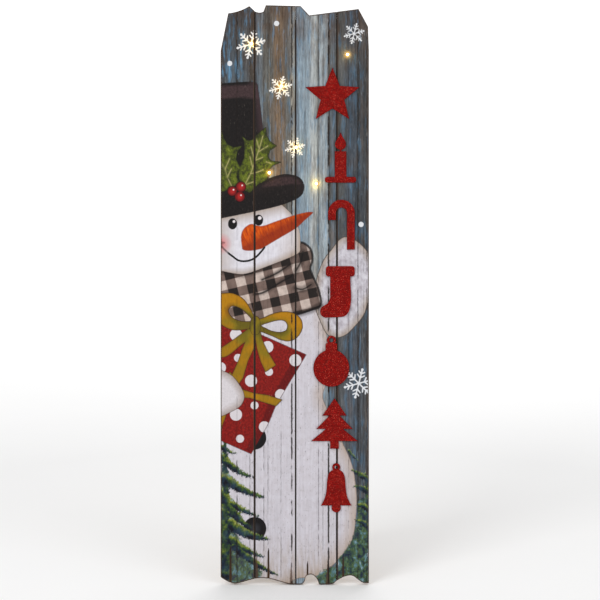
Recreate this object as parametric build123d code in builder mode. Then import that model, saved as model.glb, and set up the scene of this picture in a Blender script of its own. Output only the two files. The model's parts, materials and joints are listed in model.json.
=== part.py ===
"""Free-standing plank sign with a printed front, raised glitter cut-outs and a small string of lights.

The sign leans back on a hinged strut, with its own lowest edge and the strut's foot on Z = 0 and the middle
of the ground that it covers at the origin. Places on the board are given as x across it, height up its face
from its lowest tip, and depth behind its printed front, all in millimetres.
"""

from build123d import *

import os
from math import cos, pi, radians, sin, tan

# Board: four upright planks with a wavy foot and a ragged top
BOARD_HALF_WIDTH = 128.0
BOARD_THICKNESS = 9.0
CONTOUR_HEIGHT = 1000.0
PLANK_JOINTS = (-69.0, 1.5, 72.5)
PLANK_GAP = 0.2
JOINT_CHAMFER = 1.3
EDGE_CHAMFER = 0.6
PRINT_THICKNESS = 0.3
PRINT_MARGIN = 0.8
CUTOUT_THICKNESS = 3.0
CUTOUT_EASING = 0.5

# Tapering cuts that rise from the foot of the board: x, height, width at the foot
FOOT_CUTS = ((-111.0, 66.0, 3.0), (-45.5, 62.0, 3.0), (22.0, 40.0, 2.4), (83.5, 48.0, 2.6))
FOOT_CUT_DEPTH = 1.4
FOOT_CUT_TIP = 0.8
FOOT_CUT_POINT = 5.0

# Lean of the board and opening of the strut, in degrees
LEAN = 7.5
STRUT_OPENING = 15.0

# Battens behind the planks: lowest and highest edge of each
BATTEN_THICKNESS = 12.0
BATTEN_HALF_LENGTH = 112.0
BATTEN_EASING = 1.0
TOP_BATTEN = (944.0, 976.0)
HINGE_BATTEN = (568.0, 652.0)
LOW_BATTEN = (92.0, 124.0)
BATTEN_BACK = BOARD_THICKNESS + BATTEN_THICKNESS

# Wood screws: two in each plank on each row, and only the outer ones beside the hinge
ALL_COLUMNS = (-104.0, -82.0, -54.0, -14.0, 16.0, 58.0, 83.0, 104.0)
OUTER_COLUMNS = (-104.0, -82.0, -54.0, 58.0, 83.0, 104.0)
SCREW_ROWS = ((960.0, ALL_COLUMNS), (635.0, OUTER_COLUMNS), (585.0, OUTER_COLUMNS), (108.0, ALL_COLUMNS))
SCREW_LENGTH = 17.0
SCREW_SHANK_RADIUS = 1.5
SCREW_HEAD_RADIUS = 3.1
SCREW_HEAD_DEPTH = 1.9
SCREW_POINT = 2.5
SCREW_CLEARANCE = 0.06
SCREW_RECESS = (3.4, 0.8, 1.1)

# Strut and its butt hinge
PIN_HEIGHT = 600.0
LEAF_THICKNESS = 1.2
LEAF_REACH = 24.0
KNUCKLE_RADIUS = 2.4
KNUCKLE_COUNT = 5
KNUCKLE_GAP = 0.3
HINGE_WIDTH = 50.0
PIN_RADIUS = 1.2
PIN_CLEARANCE = 0.05
PIN_HEAD_RADIUS = 2.1
PIN_HEAD_LENGTH = 1.2
LEAF_SCREW_COLUMNS = (-17.0, 0.0, 17.0)
LEAF_SCREW_DROP = 15.0
LEAF_SCREW_LENGTH = 8.5
PIN_STANDOFF = KNUCKLE_RADIUS + 0.3
STRUT_THICKNESS = 10.0
STRUT_TOP_RISE = 46.0
STRUT_TOP_WIDTH = 60.0
STRUT_FOOT_WIDTH = 44.0
STRUT_STOP_GAP = 0.2
STRUT_EASING = 1.0

# Sawtooth hanger on the top batten
HANGER_HEIGHT = 969.0
HANGER_SIZE = (46.0, 10.0)
HANGER_THICKNESS = 1.0
HANGER_STANDOFF = 1.6
HANGER_PAD = 9.0
HANGER_TEETH = 9
HANGER_TOOTH = (2.6, 1.8)
HANGER_TOOTH_PITCH = 3.0
NAIL_RADIUS = 0.8
NAIL_HEAD = (1.9, 0.7)
NAIL_LENGTH = 9.0

# Lights: x and height of each bulb, in the order in which the wire reaches them
LIGHTS = ((-44.0, 710.5), (37.0, 691.5), (2.5, 754.5), (-23.0, 860.0), (-74.5, 933.0), (91.0, 914.5))
LIGHT_HOLE_RADIUS = 2.6
BULB_RADIUS = 2.4
BULB_REACH = 5.4
BULB_SEAT = 2.0
HOLDER_RADIUS = 2.5
HOLDER_CAP_RADIUS = 4.2
HOLDER_CAP_LENGTH = 7.0
HOLDER_CAP_EASING = 1.2

# Wire and staples
WIRE_RADIUS = 0.8
WIRE_DEPTH = BOARD_THICKNESS + WIRE_RADIUS + 0.15
WIRE_EXIT = (730.0, 13.6)
BEND_SHARE = 0.45
STAPLE_SHARES = (0.3, 0.72)
STAPLE_GAUGE = 0.6
STAPLE_WIDTH = 1.0
STAPLE_HALF_SPAN = 1.7
STAPLE_RISE = 2.5
STAPLE_LEG = 4.5

# Battery box
BOX_X = -90.0
BOX_FOOT = 662.0
BOX_WIDTH = 34.0
BOX_LENGTH = 79.0
BOX_WALL = 1.6
PAD_THICKNESS = 1.0
BOX_FRONT = BOARD_THICKNESS + PAD_THICKNESS
BOX_FLOOR = BOX_FRONT + BOX_WALL
BOX_BACK = 30.0
BOX_EASING = 1.0
BAY_LENGTH = 58.0
CELL_RADIUS = 7.0
CELL_LENGTH = 49.0
CELL_NUB = (2.75, 1.4)
CELL_SPREAD = 7.5
CELL_DEPTH = BOX_FLOOR + 0.3 + CELL_RADIUS
GROOVE_FRONT = 26.3
GROOVE_WIDTH = 2.0
GROOVE_DEPTH = 0.8
COVER_CLEARANCE = 0.15
COVER_TRAVEL = 56.0
RIDGE_COUNT = 5
RIDGE_PITCH = 2.6
RIDGE_SIZE = (16.0, 1.0, 0.6)
CONTACT_THICKNESS = 0.4
SPRING_LENGTH = 5.0
SPRING_RADIUS = 4.0
SPRING_WIRE = 0.35

# Switch and timer board
SWITCH_HEIGHT = 730.0
BOARD_DEPTH = 15.8
TIMER_BOARD = (28.0, 13.0, 1.2)
SWITCH_CAN = (12.0, 6.0, 5.0)
SLIDER_TRAVEL = 5.0
SLIDER_START = -2.5
SLIDER_STEM = (3.0, 3.0)
SLIDER_FLANGE = (6.5, 5.0, 0.7)
SLIDER_TOP = 30.2
SLOT_CLEARANCE = 0.3

UP = Vector(0, sin(radians(LEAN)), cos(radians(LEAN)))
BACK = Vector(0, cos(radians(LEAN)), -sin(radians(LEAN)))
STRUT_TILT = radians(STRUT_OPENING - LEAN)
STRUT_UP = Vector(0, -sin(STRUT_TILT), cos(STRUT_TILT))
STRUT_BACK = Vector(0, cos(STRUT_TILT), sin(STRUT_TILT))

# The board turns on the back corner of its lowest tips. The sign's ground runs from the foot of its printed
# front to the heel of the strut, and the origin is half way between them.
PIN_DEPTH = BATTEN_BACK + PIN_STANDOFF
PIN_RISE = PIN_HEIGHT * UP.Z + (PIN_DEPTH - BOARD_THICKNESS) * BACK.Z
STRUT_BACK_FACE = PIN_STANDOFF + STRUT_THICKNESS
HEEL = PIN_HEIGHT * UP.Y + PIN_DEPTH * BACK.Y + STRUT_BACK_FACE * STRUT_BACK.Y
HEEL += (PIN_RISE + STRUT_BACK_FACE * STRUT_BACK.Z) * tan(STRUT_TILT)
PRINT_TOE = PRINT_MARGIN * UP.Y - PRINT_THICKNESS * BACK.Y
BOARD_ORIGIN = Vector(0, -(HEEL + PRINT_TOE) / 2, -BOARD_THICKNESS * BACK.Z)


def spot(x, height, depth):
    """The point at this x, height up the board and depth behind its printed front."""
    return BOARD_ORIGIN + Vector(x, 0, 0) + UP * height + BACK * depth


def front_plane(depth=0.0, height=0.0):
    """Plane parallel to the board, seen from the front: sketch x is across, sketch y is up from here."""
    return Plane(origin=spot(0, height, depth), x_dir=(1, 0, 0), z_dir=-BACK)


def driven_from_back(x, height, depth):
    """Place for a screw or nail that is driven towards the front, with its head at this depth."""
    return Location(Plane(origin=spot(x, height, depth), x_dir=(1, 0, 0), z_dir=BACK))


def strut_plane(depth):
    """Plane parallel to the strut, at this depth behind the hinge pin: sketch y is 0 at the pin."""
    origin = spot(0, PIN_HEIGHT, PIN_DEPTH) + STRUT_BACK * depth
    return Plane(origin=origin, x_dir=(1, 0, 0), z_dir=-STRUT_BACK)


PIN_PLANE = Plane(origin=spot(0, PIN_HEIGHT, PIN_DEPTH), x_dir=BACK, z_dir=(1, 0, 0))
DEPTH_AXIS = Axis(spot(0, 0, 0), BACK)
HEIGHT_AXIS = Axis(spot(0, 0, 0), UP)


def block(across, up, deep, mode=Mode.ADD):
    """Adds or cuts a rectangular block between two limits each across the board, up it and in depth."""
    with BuildSketch(front_plane(deep[0])) as profile:
        with Locations(((across[0] + across[1]) / 2, (up[0] + up[1]) / 2)):
            Rectangle(across[1] - across[0], up[1] - up[0])
    extrude(profile.sketch, amount=deep[0] - deep[1], mode=mode)


def rod(radius, x, height, deep, mode=Mode.ADD):
    """Adds or cuts a round rod that runs from one depth to another."""
    with BuildSketch(front_plane(deep[0])) as profile:
        with Locations((x, height)):
            Circle(radius)
    extrude(profile.sketch, amount=deep[0] - deep[1], mode=mode)


def around(middle, width):
    """The two limits of something this wide about its middle."""
    return middle - width / 2, middle + width / 2


# ---- Planks and their printed faces ----------------------------------------------------------------------


def contour():
    """The whole board from the front, with a ragged top, straight sides and a wavy foot."""
    w = BOARD_HALF_WIDTH
    with BuildSketch() as face:
        with BuildLine():
            Polyline((-w, 12.6), (-w, 921.5), (-115, 986))
            ThreePointArc((-115, 986), (-95, 990.5), (-78.5, 998.5))
            Line((-78.5, 998.5), (-69.5, 990))
            ThreePointArc((-69.5, 990), (-61, 987.2), (-54, 989))
            Polyline((-54, 989), (-50, CONTOUR_HEIGHT), (10, 998.5), (25, 982.5), (110, 993.5), (126.5, 963))
            Polyline((126.5, 963), (w, 921.5), (w, 2.2), (119, 2.2))
            Spline((119, 2.2), (98, 15.2), (70, 4.2), (54, 0), tangents=((-1, 0.4), (-1, 0)))
            Line((54, 0), (42, 0))
            Spline((42, 0), (37.5, 10.5), (27, 17), (19.5, 13.5), (11, 0), tangents=((-0.3, 1), (-1, -0.5)))
            Line((11, 0), (-1, 0))
            left_wave = ((-1, 0), (-28, 5.5), (-57, 11), (-90, 4), (-104.5, 1.6), (-w, 12.6))
            Spline(*left_wave, tangents=((-1, 0), (-1, 0.7)))
        make_face()
    return face.sketch


def print_outline():
    """The part of the board that stays printed: the contour drawn in a little at its top and its foot."""
    with BuildSketch() as printed:
        with Locations((0, PRINT_MARGIN)):
            add(contour())
        with Locations((0, -PRINT_MARGIN)):
            add(contour(), mode=Mode.INTERSECT)
    return printed.sketch


def plank_edges(number):
    """Left and right edge of a plank, from 0 at the left, with half of the gap taken off at each joint."""
    left = (-BOARD_HALF_WIDTH, *(x + PLANK_GAP / 2 for x in PLANK_JOINTS))[number]
    right = (*(x - PLANK_GAP / 2 for x in PLANK_JOINTS), BOARD_HALF_WIDTH)[number]
    return left, right


def strip(left, right):
    """A tall rectangle from one x to another, for slicing the contour."""
    with BuildSketch() as slice_:
        with Locations(((left + right) / 2, CONTOUR_HEIGHT / 2)):
            Rectangle(right - left, CONTOUR_HEIGHT + 20)
    return slice_.sketch


def foot_cut(x, top, width):
    """One long tapering cut, widest at the foot."""
    below = -5.0
    shoulder = top - FOOT_CUT_POINT
    with BuildSketch() as cut:
        with BuildLine():
            Polyline(
                (x - width / 2, below),
                (x + width / 2, below),
                (x + FOOT_CUT_TIP / 2, shoulder),
                (x, top),
                (x - FOOT_CUT_TIP / 2, shoulder),
                close=True,
            )
        make_face()
    return cut.sketch


def cuts_between(left, right):
    """The foot cuts that fall between two x."""
    return [cut for cut in FOOT_CUTS if left < cut[0] < right]


def lights_between(left, right):
    """The light holes that reach between two x."""
    return [place for place in LIGHTS if left - LIGHT_HOLE_RADIUS < place[0] < right + LIGHT_HOLE_RADIUS]


def screw_places(left=-BOARD_HALF_WIDTH, right=BOARD_HALF_WIDTH, low=0.0, high=CONTOUR_HEIGHT):
    """Where the batten screws between these limits stand."""
    return [
        driven_from_back(x, height, BATTEN_BACK)
        for height, columns in SCREW_ROWS
        for x in columns
        if left < x < right and low < height < high
    ]


def screw_shape(length, clearance=0.0):
    """A countersunk screw at the origin with its head up, or with clearance the hole that it needs."""
    shank = SCREW_SHANK_RADIUS + clearance
    with BuildPart() as screw:
        with BuildSketch(Plane.XZ):
            with BuildLine():
                Polyline(
                    (0, 0),
                    (SCREW_HEAD_RADIUS + clearance, 0),
                    (shank, -SCREW_HEAD_DEPTH),
                    (shank, SCREW_POINT - length),
                    (0, -length - clearance),
                    close=True,
                )
            make_face()
        revolve(axis=Axis.Z)
        if not clearance:
            length_of_slot, width_of_slot, recess = SCREW_RECESS
            with BuildSketch(Plane.XY):
                Rectangle(length_of_slot, width_of_slot)
                Rectangle(width_of_slot, length_of_slot)
            extrude(amount=-recess, mode=Mode.SUBTRACT)
    return screw.part


BATTEN_SCREW = screw_shape(SCREW_LENGTH)
BATTEN_SCREW_HOLE = screw_shape(SCREW_LENGTH, SCREW_CLEARANCE)
LEAF_SCREW = screw_shape(LEAF_SCREW_LENGTH)
LEAF_SCREW_HOLE = screw_shape(LEAF_SCREW_LENGTH, SCREW_CLEARANCE)


def make_plank(number):
    """One plank: shaped ends, a V-groove beside each neighbour, foot cuts, light holes and screw holes."""
    left, right = plank_edges(number)
    with BuildPart() as plank:
        with BuildSketch(front_plane()):
            add(contour())
            add(strip(left, right), mode=Mode.INTERSECT)
        extrude(amount=-BOARD_THICKNESS)
        front_uprights = plank.edges().filter_by(HEIGHT_AXIS).filter_by_position(DEPTH_AXIS, -0.01, 0.01)
        for x, at_joint in ((left, number > 0), (right, number < 3)):
            edge = front_uprights.filter_by_position(Axis.X, x - 0.01, x + 0.01)
            chamfer(edge, length=JOINT_CHAMFER if at_joint else EDGE_CHAMFER)
        with BuildSketch(front_plane()):
            for cut in cuts_between(left, right):
                add(foot_cut(*cut))
        extrude(amount=-FOOT_CUT_DEPTH, mode=Mode.SUBTRACT)
        for x, height in lights_between(left, right):
            rod(LIGHT_HOLE_RADIUS, x, height, (-1, BOARD_THICKNESS + 1), mode=Mode.SUBTRACT)
        for place in screw_places(left, right):
            add(BATTEN_SCREW_HOLE.moved(place), mode=Mode.SUBTRACT)
    plank.part.label = f"plank_{number + 1}"
    export_step(plank.part, f"parts/plank_{number + 1}.step")


def make_print(number):
    """The printed face glued to one plank: it stops short of the grooves, the edges and the foot cuts."""
    left, right = plank_edges(number)
    left += JOINT_CHAMFER if number > 0 else PRINT_MARGIN
    right -= JOINT_CHAMFER if number < 3 else PRINT_MARGIN
    with BuildPart() as facing:
        with BuildSketch(front_plane()):
            add(print_outline())
            add(strip(left, right), mode=Mode.INTERSECT)
            for cut in cuts_between(left, right):
                add(foot_cut(*cut), mode=Mode.SUBTRACT)
        extrude(amount=PRINT_THICKNESS)
        for x, height in lights_between(left, right):
            rod(LIGHT_HOLE_RADIUS, x, height, (-1, 1), mode=Mode.SUBTRACT)
    facing.part.label = f"print_{number + 1}"
    export_step(facing.part, f"parts/print_{number + 1}.step")


# ---- Raised cut-outs -------------------------------------------------------------------------------------


def star_outline():
    """A five-pointed star."""
    x, height, reach, waist = 65.0, 843.0, 49.0, 21.5
    tips = []
    for turn in range(10):
        angle = radians(90 + 36 * turn)
        size = waist if turn % 2 else reach
        tips.append((x + size * cos(angle), height + size * sin(angle)))
    with BuildSketch() as shape:
        with BuildLine():
            Polyline(*tips, close=True)
        make_face()
    return shape.sketch


def candle_outline():
    """A candle with its flame, in a dish."""
    x, foot = 79.0, 693.5
    with BuildSketch() as shape:
        with Locations((x, foot + 5)):
            RectangleRounded(54, 10, 4)
        with Locations((x, foot + 31)):
            Rectangle(20, 46)
        with Locations((x, foot + 56)):
            Rectangle(3, 6)
        with BuildLine():
            Spline((x, foot + 87), (x + 9.5, foot + 66), (x, foot + 57), tangents=((0.35, -1), (-1, 0)))
            Spline((x, foot + 57), (x - 9.5, foot + 66), (x, foot + 87), tangents=((-1, 0), (0.35, 1)))
        make_face()
    return shape.sketch


def cane_outline():
    """A hooked sugar cane."""
    x, foot, outer, inner = 80.5, 578.0, 23.0, 9.5
    crown = foot + 86 - outer
    middle = (outer + inner) / 2
    with BuildSketch() as shape:
        with Locations((x, crown)):
            Circle(outer)
            Circle(inner, mode=Mode.SUBTRACT)
        with Locations((x, crown - outer)):
            Rectangle(2 * outer + 2, 2 * outer, mode=Mode.SUBTRACT)
        with Locations((x + middle, (crown + foot) / 2)):
            Rectangle(outer - inner, crown - foot)
        with Locations((x - middle, crown - 6)):
            Rectangle(outer - inner, 12)
    return shape.sketch


def stocking_outline():
    """A stocking with a turned-down cuff."""
    x, foot = 74.0, 460.5
    with BuildSketch() as shape:
        with BuildLine():
            Line((x - 13, foot + 74), (x - 13, foot + 34))
            Spline((x - 13, foot + 34), (x - 29, foot + 16), (x - 20, foot), tangents=((-0.2, -1), (1, -0.1)))
            Line((x - 20, foot), (x + 6, foot + 1))
            Spline((x + 6, foot + 1), (x + 22, foot + 20), (x + 22, foot + 74), tangents=((1, 0.1), (0, 1)))
            Line((x + 22, foot + 74), (x - 13, foot + 74))
        make_face()
        with Locations((x + 4.5, foot + 80)):
            RectangleRounded(50, 18, 5)
    return shape.sketch


def bauble_outline():
    """A round bauble with its cap and ring."""
    x, foot, radius = 63.0, 341.5, 31.0
    with BuildSketch() as shape:
        with Locations((x, foot + radius + 1)):
            Ellipse(radius, radius + 1)
        with Locations((x, foot + 2 * radius + 6)):
            RectangleRounded(20, 14, 2)
        with Locations((x, foot + 2 * radius + 18)):
            Circle(8)
            Circle(3.6, mode=Mode.SUBTRACT)
    return shape.sketch


def tree_outline():
    """A fir tree of three tiers on a short trunk."""
    x, foot = 68.5, 234.5
    with BuildSketch() as shape:
        with Locations((x, foot + 7)):
            Rectangle(15, 14)
        for half, low, high in ((40.5, 13.0, 46.0), (31.5, 34.0, 66.0), (21.0, 57.0, 87.0)):
            with BuildLine():
                Polyline((x - half, foot + low), (x + half, foot + low), (x, foot + high), close=True)
            make_face()
    return shape.sketch


def bell_outline():
    """A hand bell with its clapper and ring."""
    x, foot, flare = 71.5, 123.5, 26.5
    with BuildSketch() as shape:
        with BuildLine():
            Line((x - flare, foot + 13), (x + flare, foot + 13))
            Spline((x + flare, foot + 13), (x + 17, foot + 38), (x, foot + 75), tangents=((-0.7, 1), (-1, 0)))
            Spline((x, foot + 75), (x - 17, foot + 38), (x - flare, foot + 13), tangents=((-1, 0), (-0.7, -1)))
        make_face()
        with Locations((x, foot + 9)):
            Circle(8)
        with Locations((x, foot + 79)):
            Circle(7)
            Circle(2.8, mode=Mode.SUBTRACT)
    return shape.sketch


def make_cutout(name, outline):
    """One raised cut-out, glued on the printed front and eased round its front edges."""
    with BuildPart() as cutout:
        with BuildSketch(front_plane(-PRINT_THICKNESS)):
            add(outline)
        extrude(amount=CUTOUT_THICKNESS)
        chamfer(cutout.faces().sort_by(DEPTH_AXIS)[0].edges(), length=CUTOUT_EASING)
    cutout.part.label = name
    export_step(cutout.part, f"parts/{name}.step")


# ---- Battens, screws and hanger --------------------------------------------------------------------------


def make_batten(name, low, high):
    """A cross batten, eased along its back edges, with its screw holes."""
    with BuildPart() as batten:
        block((-BATTEN_HALF_LENGTH, BATTEN_HALF_LENGTH), (low, high), (BOARD_THICKNESS, BATTEN_BACK))
        chamfer(batten.faces().sort_by(DEPTH_AXIS)[-1].edges(), length=BATTEN_EASING)
        for place in screw_places(low=low, high=high):
            add(BATTEN_SCREW_HOLE.moved(place), mode=Mode.SUBTRACT)
        if low < PIN_HEIGHT < high:
            for place in batten_leaf_screw_places():
                add(LEAF_SCREW_HOLE.moved(place), mode=Mode.SUBTRACT)
    batten.part.label = name
    export_step(batten.part, f"parts/{name}.step")


def make_batten_screws():
    """The wood screws that hold the planks to the battens."""
    with BuildPart() as batten_screws:
        for place in screw_places():
            add(BATTEN_SCREW.moved(place))
    batten_screws.part.label = "batten_screws"
    export_step(batten_screws.part, "parts/batten_screws.step")


def make_hanger():
    """A sawtooth hanging strip: two pads on the batten and a raised, toothed bridge between them."""
    length, height = HANGER_SIZE
    pad_back = BATTEN_BACK + HANGER_THICKNESS
    bridge_front = BATTEN_BACK + HANGER_STANDOFF
    rows = around(HANGER_HEIGHT, height)
    span = length / 2 - HANGER_PAD
    tooth_width, tooth_height = HANGER_TOOTH
    with BuildPart() as hanger:
        block((-length / 2, -span), rows, (BATTEN_BACK, pad_back))
        block((span, length / 2), rows, (BATTEN_BACK, pad_back))
        block((-span - HANGER_THICKNESS, -span), rows, (BATTEN_BACK, bridge_front + HANGER_THICKNESS))
        block((span, span + HANGER_THICKNESS), rows, (BATTEN_BACK, bridge_front + HANGER_THICKNESS))
        block((-span, span), rows, (bridge_front, bridge_front + HANGER_THICKNESS))
        with BuildSketch(front_plane(bridge_front)):
            with GridLocations(HANGER_TOOTH_PITCH, 1, HANGER_TEETH, 1):
                with Locations((0, rows[0] + tooth_height / 2)):
                    Triangle(a=tooth_width, b=tooth_height * 1.24, c=tooth_height * 1.24)
        extrude(amount=-HANGER_THICKNESS, mode=Mode.SUBTRACT)
        for x in around(0, length - HANGER_PAD):
            rod(NAIL_RADIUS + PIN_CLEARANCE, x, HANGER_HEIGHT, (BATTEN_BACK, pad_back), mode=Mode.SUBTRACT)
    hanger.part.label = "hanger"
    export_step(hanger.part, "parts/hanger.step")
    with BuildPart() as hanger_nails:
        for x in around(0, length - HANGER_PAD):
            rod(NAIL_RADIUS, x, HANGER_HEIGHT, (pad_back - NAIL_LENGTH, pad_back))
            rod(NAIL_HEAD[0], x, HANGER_HEIGHT, (pad_back, pad_back + NAIL_HEAD[1]))
    hanger_nails.part.label = "hanger_nails"
    export_step(hanger_nails.part, "parts/hanger_nails.step")


# ---- Strut and hinge -------------------------------------------------------------------------------------


def batten_leaf_screw_places():
    """Where the hinge's screws go into the batten."""
    back = BATTEN_BACK + LEAF_THICKNESS
    return [driven_from_back(x, PIN_HEIGHT - LEAF_SCREW_DROP, back) for x in LEAF_SCREW_COLUMNS]


def strut_leaf_screw_places():
    """Where the hinge's screws go into the strut, from the side that faces the board."""
    face = strut_plane(PIN_STANDOFF - LEAF_THICKNESS)
    return [face.location * Location((x, -LEAF_SCREW_DROP, 0)) for x in LEAF_SCREW_COLUMNS]


def knuckle_spans(parity):
    """Limits along the pin of every second knuckle."""
    pitch = HINGE_WIDTH / KNUCKLE_COUNT
    starts = [-HINGE_WIDTH / 2 + pitch * number for number in range(parity, KNUCKLE_COUNT, 2)]
    return [(start + KNUCKLE_GAP / 2, start + pitch - KNUCKLE_GAP / 2) for start in starts]


def make_leaf(name, plane, spans, screw_holes):
    """One hinge leaf: a plate below the pin, tabs up to its own knuckles, and the bored knuckles."""
    notch = -KNUCKLE_RADIUS - 0.5
    with BuildPart() as leaf:
        with BuildSketch(plane):
            with Locations((0, (notch - LEAF_REACH) / 2)):
                Rectangle(HINGE_WIDTH, LEAF_REACH + notch)
            for low, high in spans:
                with Locations(((low + high) / 2, notch / 2)):
                    Rectangle(high - low, -notch)
        extrude(amount=LEAF_THICKNESS)
        for low, high in spans:
            with BuildSketch(PIN_PLANE.offset(low)):
                Circle(KNUCKLE_RADIUS)
            extrude(amount=high - low)
        with BuildSketch(PIN_PLANE.offset(-HINGE_WIDTH / 2)):
            Circle(PIN_RADIUS + PIN_CLEARANCE)
        extrude(amount=HINGE_WIDTH, mode=Mode.SUBTRACT)
        for place in screw_holes:
            add(LEAF_SCREW_HOLE.moved(place), mode=Mode.SUBTRACT)
    leaf.part.label = name
    export_step(leaf.part, f"parts/{name}.step")


def make_leaf_screws(name, places):
    """The small screws of one hinge leaf."""
    with BuildPart() as leaf_screws:
        for place in places:
            add(LEAF_SCREW.moved(place))
    leaf_screws.part.label = name
    export_step(leaf_screws.part, f"parts/{name}.step")


def make_hinge_pin():
    """The hinge pin, with a small head at each end."""
    half = HINGE_WIDTH / 2
    with BuildPart() as hinge_pin:
        with BuildSketch(PIN_PLANE.offset(-half)):
            Circle(PIN_RADIUS)
        extrude(amount=HINGE_WIDTH)
        for start in (-half - PIN_HEAD_LENGTH, half):
            with BuildSketch(PIN_PLANE.offset(start)):
                Circle(PIN_HEAD_RADIUS)
            extrude(amount=PIN_HEAD_LENGTH)
    hinge_pin.part.label = "hinge_pin"
    export_step(hinge_pin.part, "parts/hinge_pin.step")


def make_strut():
    """The tapering strut: its foot is cut to the floor and its top is bevelled to rest on the batten."""
    reach = PIN_RISE / cos(STRUT_TILT) + 2 * STRUT_THICKNESS
    with BuildPart() as strut:
        with BuildSketch(strut_plane(PIN_STANDOFF)):
            with BuildLine():
                Polyline(
                    (-STRUT_TOP_WIDTH / 2, STRUT_TOP_RISE),
                    (STRUT_TOP_WIDTH / 2, STRUT_TOP_RISE),
                    (STRUT_TOP_WIDTH / 2, -LEAF_REACH - STRUT_TOP_RISE),
                    (STRUT_FOOT_WIDTH / 2, -reach),
                    (-STRUT_FOOT_WIDTH / 2, -reach),
                    (-STRUT_TOP_WIDTH / 2, -LEAF_REACH - STRUT_TOP_RISE),
                    close=True,
                )
            make_face()
        extrude(amount=-STRUT_THICKNESS)
        back_face = strut.faces().sort_by(Axis(strut_plane(0).origin, STRUT_BACK))[-1]
        chamfer(back_face.edges(), length=STRUT_EASING)
        block(
            around(0, 2 * STRUT_TOP_WIDTH),
            (PIN_HEIGHT, PIN_HEIGHT + 2 * STRUT_TOP_RISE),
            (0, BATTEN_BACK + STRUT_STOP_GAP),
            mode=Mode.SUBTRACT,
        )
        for place in strut_leaf_screw_places():
            add(LEAF_SCREW_HOLE.moved(place), mode=Mode.SUBTRACT)
        split(bisect_by=Plane.XY, keep=Keep.TOP)
    strut.part.label = "strut"
    export_step(strut.part, "parts/strut.step")


# ---- Lights and wire -------------------------------------------------------------------------------------


def make_bulb(number, x, height):
    """A clear round-nosed bulb that stands out of the printed front."""
    seat = Plane(origin=spot(x, height, 0), x_dir=(1, 0, 0), z_dir=-UP)
    shoulder = BULB_REACH - BULB_RADIUS
    quarter = BULB_RADIUS * sin(radians(45))
    with BuildPart() as bulb:
        with BuildSketch(seat):
            with BuildLine():
                Polyline((0, BULB_REACH), (0, -BULB_SEAT), (BULB_RADIUS, -BULB_SEAT), (BULB_RADIUS, shoulder))
                ThreePointArc((BULB_RADIUS, shoulder), (quarter, shoulder + quarter), (0, BULB_REACH))
            make_face()
        revolve(axis=Axis(seat.origin, -BACK))
    bulb.part.label = f"bulb_{number}"
    export_step(bulb.part, f"parts/bulb_{number}.step")


def make_holders():
    """The moulded holders behind the bulbs: a stem in each hole and a cap on the back of the board."""
    cap_back = BOARD_THICKNESS + HOLDER_CAP_LENGTH
    with BuildPart() as bulb_holders:
        for x, height in LIGHTS:
            rod(HOLDER_RADIUS, x, height, (BULB_SEAT, BOARD_THICKNESS))
            rod(HOLDER_CAP_RADIUS, x, height, (BOARD_THICKNESS, cap_back))
        rims = bulb_holders.edges().filter_by_position(DEPTH_AXIS, cap_back - 0.01, cap_back + 0.01)
        fillet(rims, radius=HOLDER_CAP_EASING)
    bulb_holders.part.label = "bulb_holders"
    export_step(bulb_holders.part, "parts/bulb_holders.step")


# The wire's route, one list of corners for each run between holders: x, height and depth
WIRE_RUNS = (
    ((-77.0, *WIRE_EXIT), (-66.0, 730.5, 13.2), (-57.0, 728.0, 10.2), (-49.0, 721.0, WIRE_DEPTH), LIGHTS[0]),
    (LIGHTS[0], (-30.0, 716.0), (-8.0, 721.0), (17.0, 713.0), LIGHTS[1]),
    (LIGHTS[1], (46.0, 708.0), (43.0, 732.0), (23.0, 745.0), LIGHTS[2]),
    (LIGHTS[2], (-17.0, 768.0), (-33.0, 796.0), (-36.0, 830.0), LIGHTS[3]),
    (LIGHTS[3], (-20.0, 884.0), (-36.0, 905.0), (-60.0, 913.0), LIGHTS[4]),
    (LIGHTS[4], (-48.0, 937.0), (-14.0, 933.0), (24.0, 922.0), (62.0, 924.0), LIGHTS[5]),
)


def in_space(corners):
    """The corners of a run as points, with the wire's usual depth where none is given."""
    return [spot(*corner) if len(corner) == 3 else spot(*corner, WIRE_DEPTH) for corner in corners]


def bend_radii(points):
    """For each inner corner, an arc as large as its two runs allow."""
    radii = []
    for before, here, after in zip(points, points[1:], points[2:]):
        turn = radians((here - before).get_angle(after - here))
        shorter = min((here - before).length, (after - here).length)
        radii.append(BEND_SHARE * shorter / tan(turn / 2))
    return radii


def wire_path(corners):
    """Middle line of one run: straight stretches joined by arcs that meet them smoothly."""
    points = in_space(corners)
    with BuildLine() as path:
        FilletPolyline(*points, radius=bend_radii(points))
    return path.wires()[0]


def make_wire():
    """The wire behind the board, one solid for each run between holders."""
    with BuildPart() as light_wire:
        for corners in WIRE_RUNS:
            path = wire_path(corners)
            with BuildSketch(Plane(origin=path @ 0, z_dir=path % 0)) as section:
                Circle(WIRE_RADIUS)
            sweep(section.sketch, path=path)
        for x, height in LIGHTS:
            rod(HOLDER_CAP_RADIUS, x, height, (0, BOX_BACK), mode=Mode.SUBTRACT)
    light_wire.part.label = "light_wire"
    export_step(light_wire.part, "parts/light_wire.step")


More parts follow.
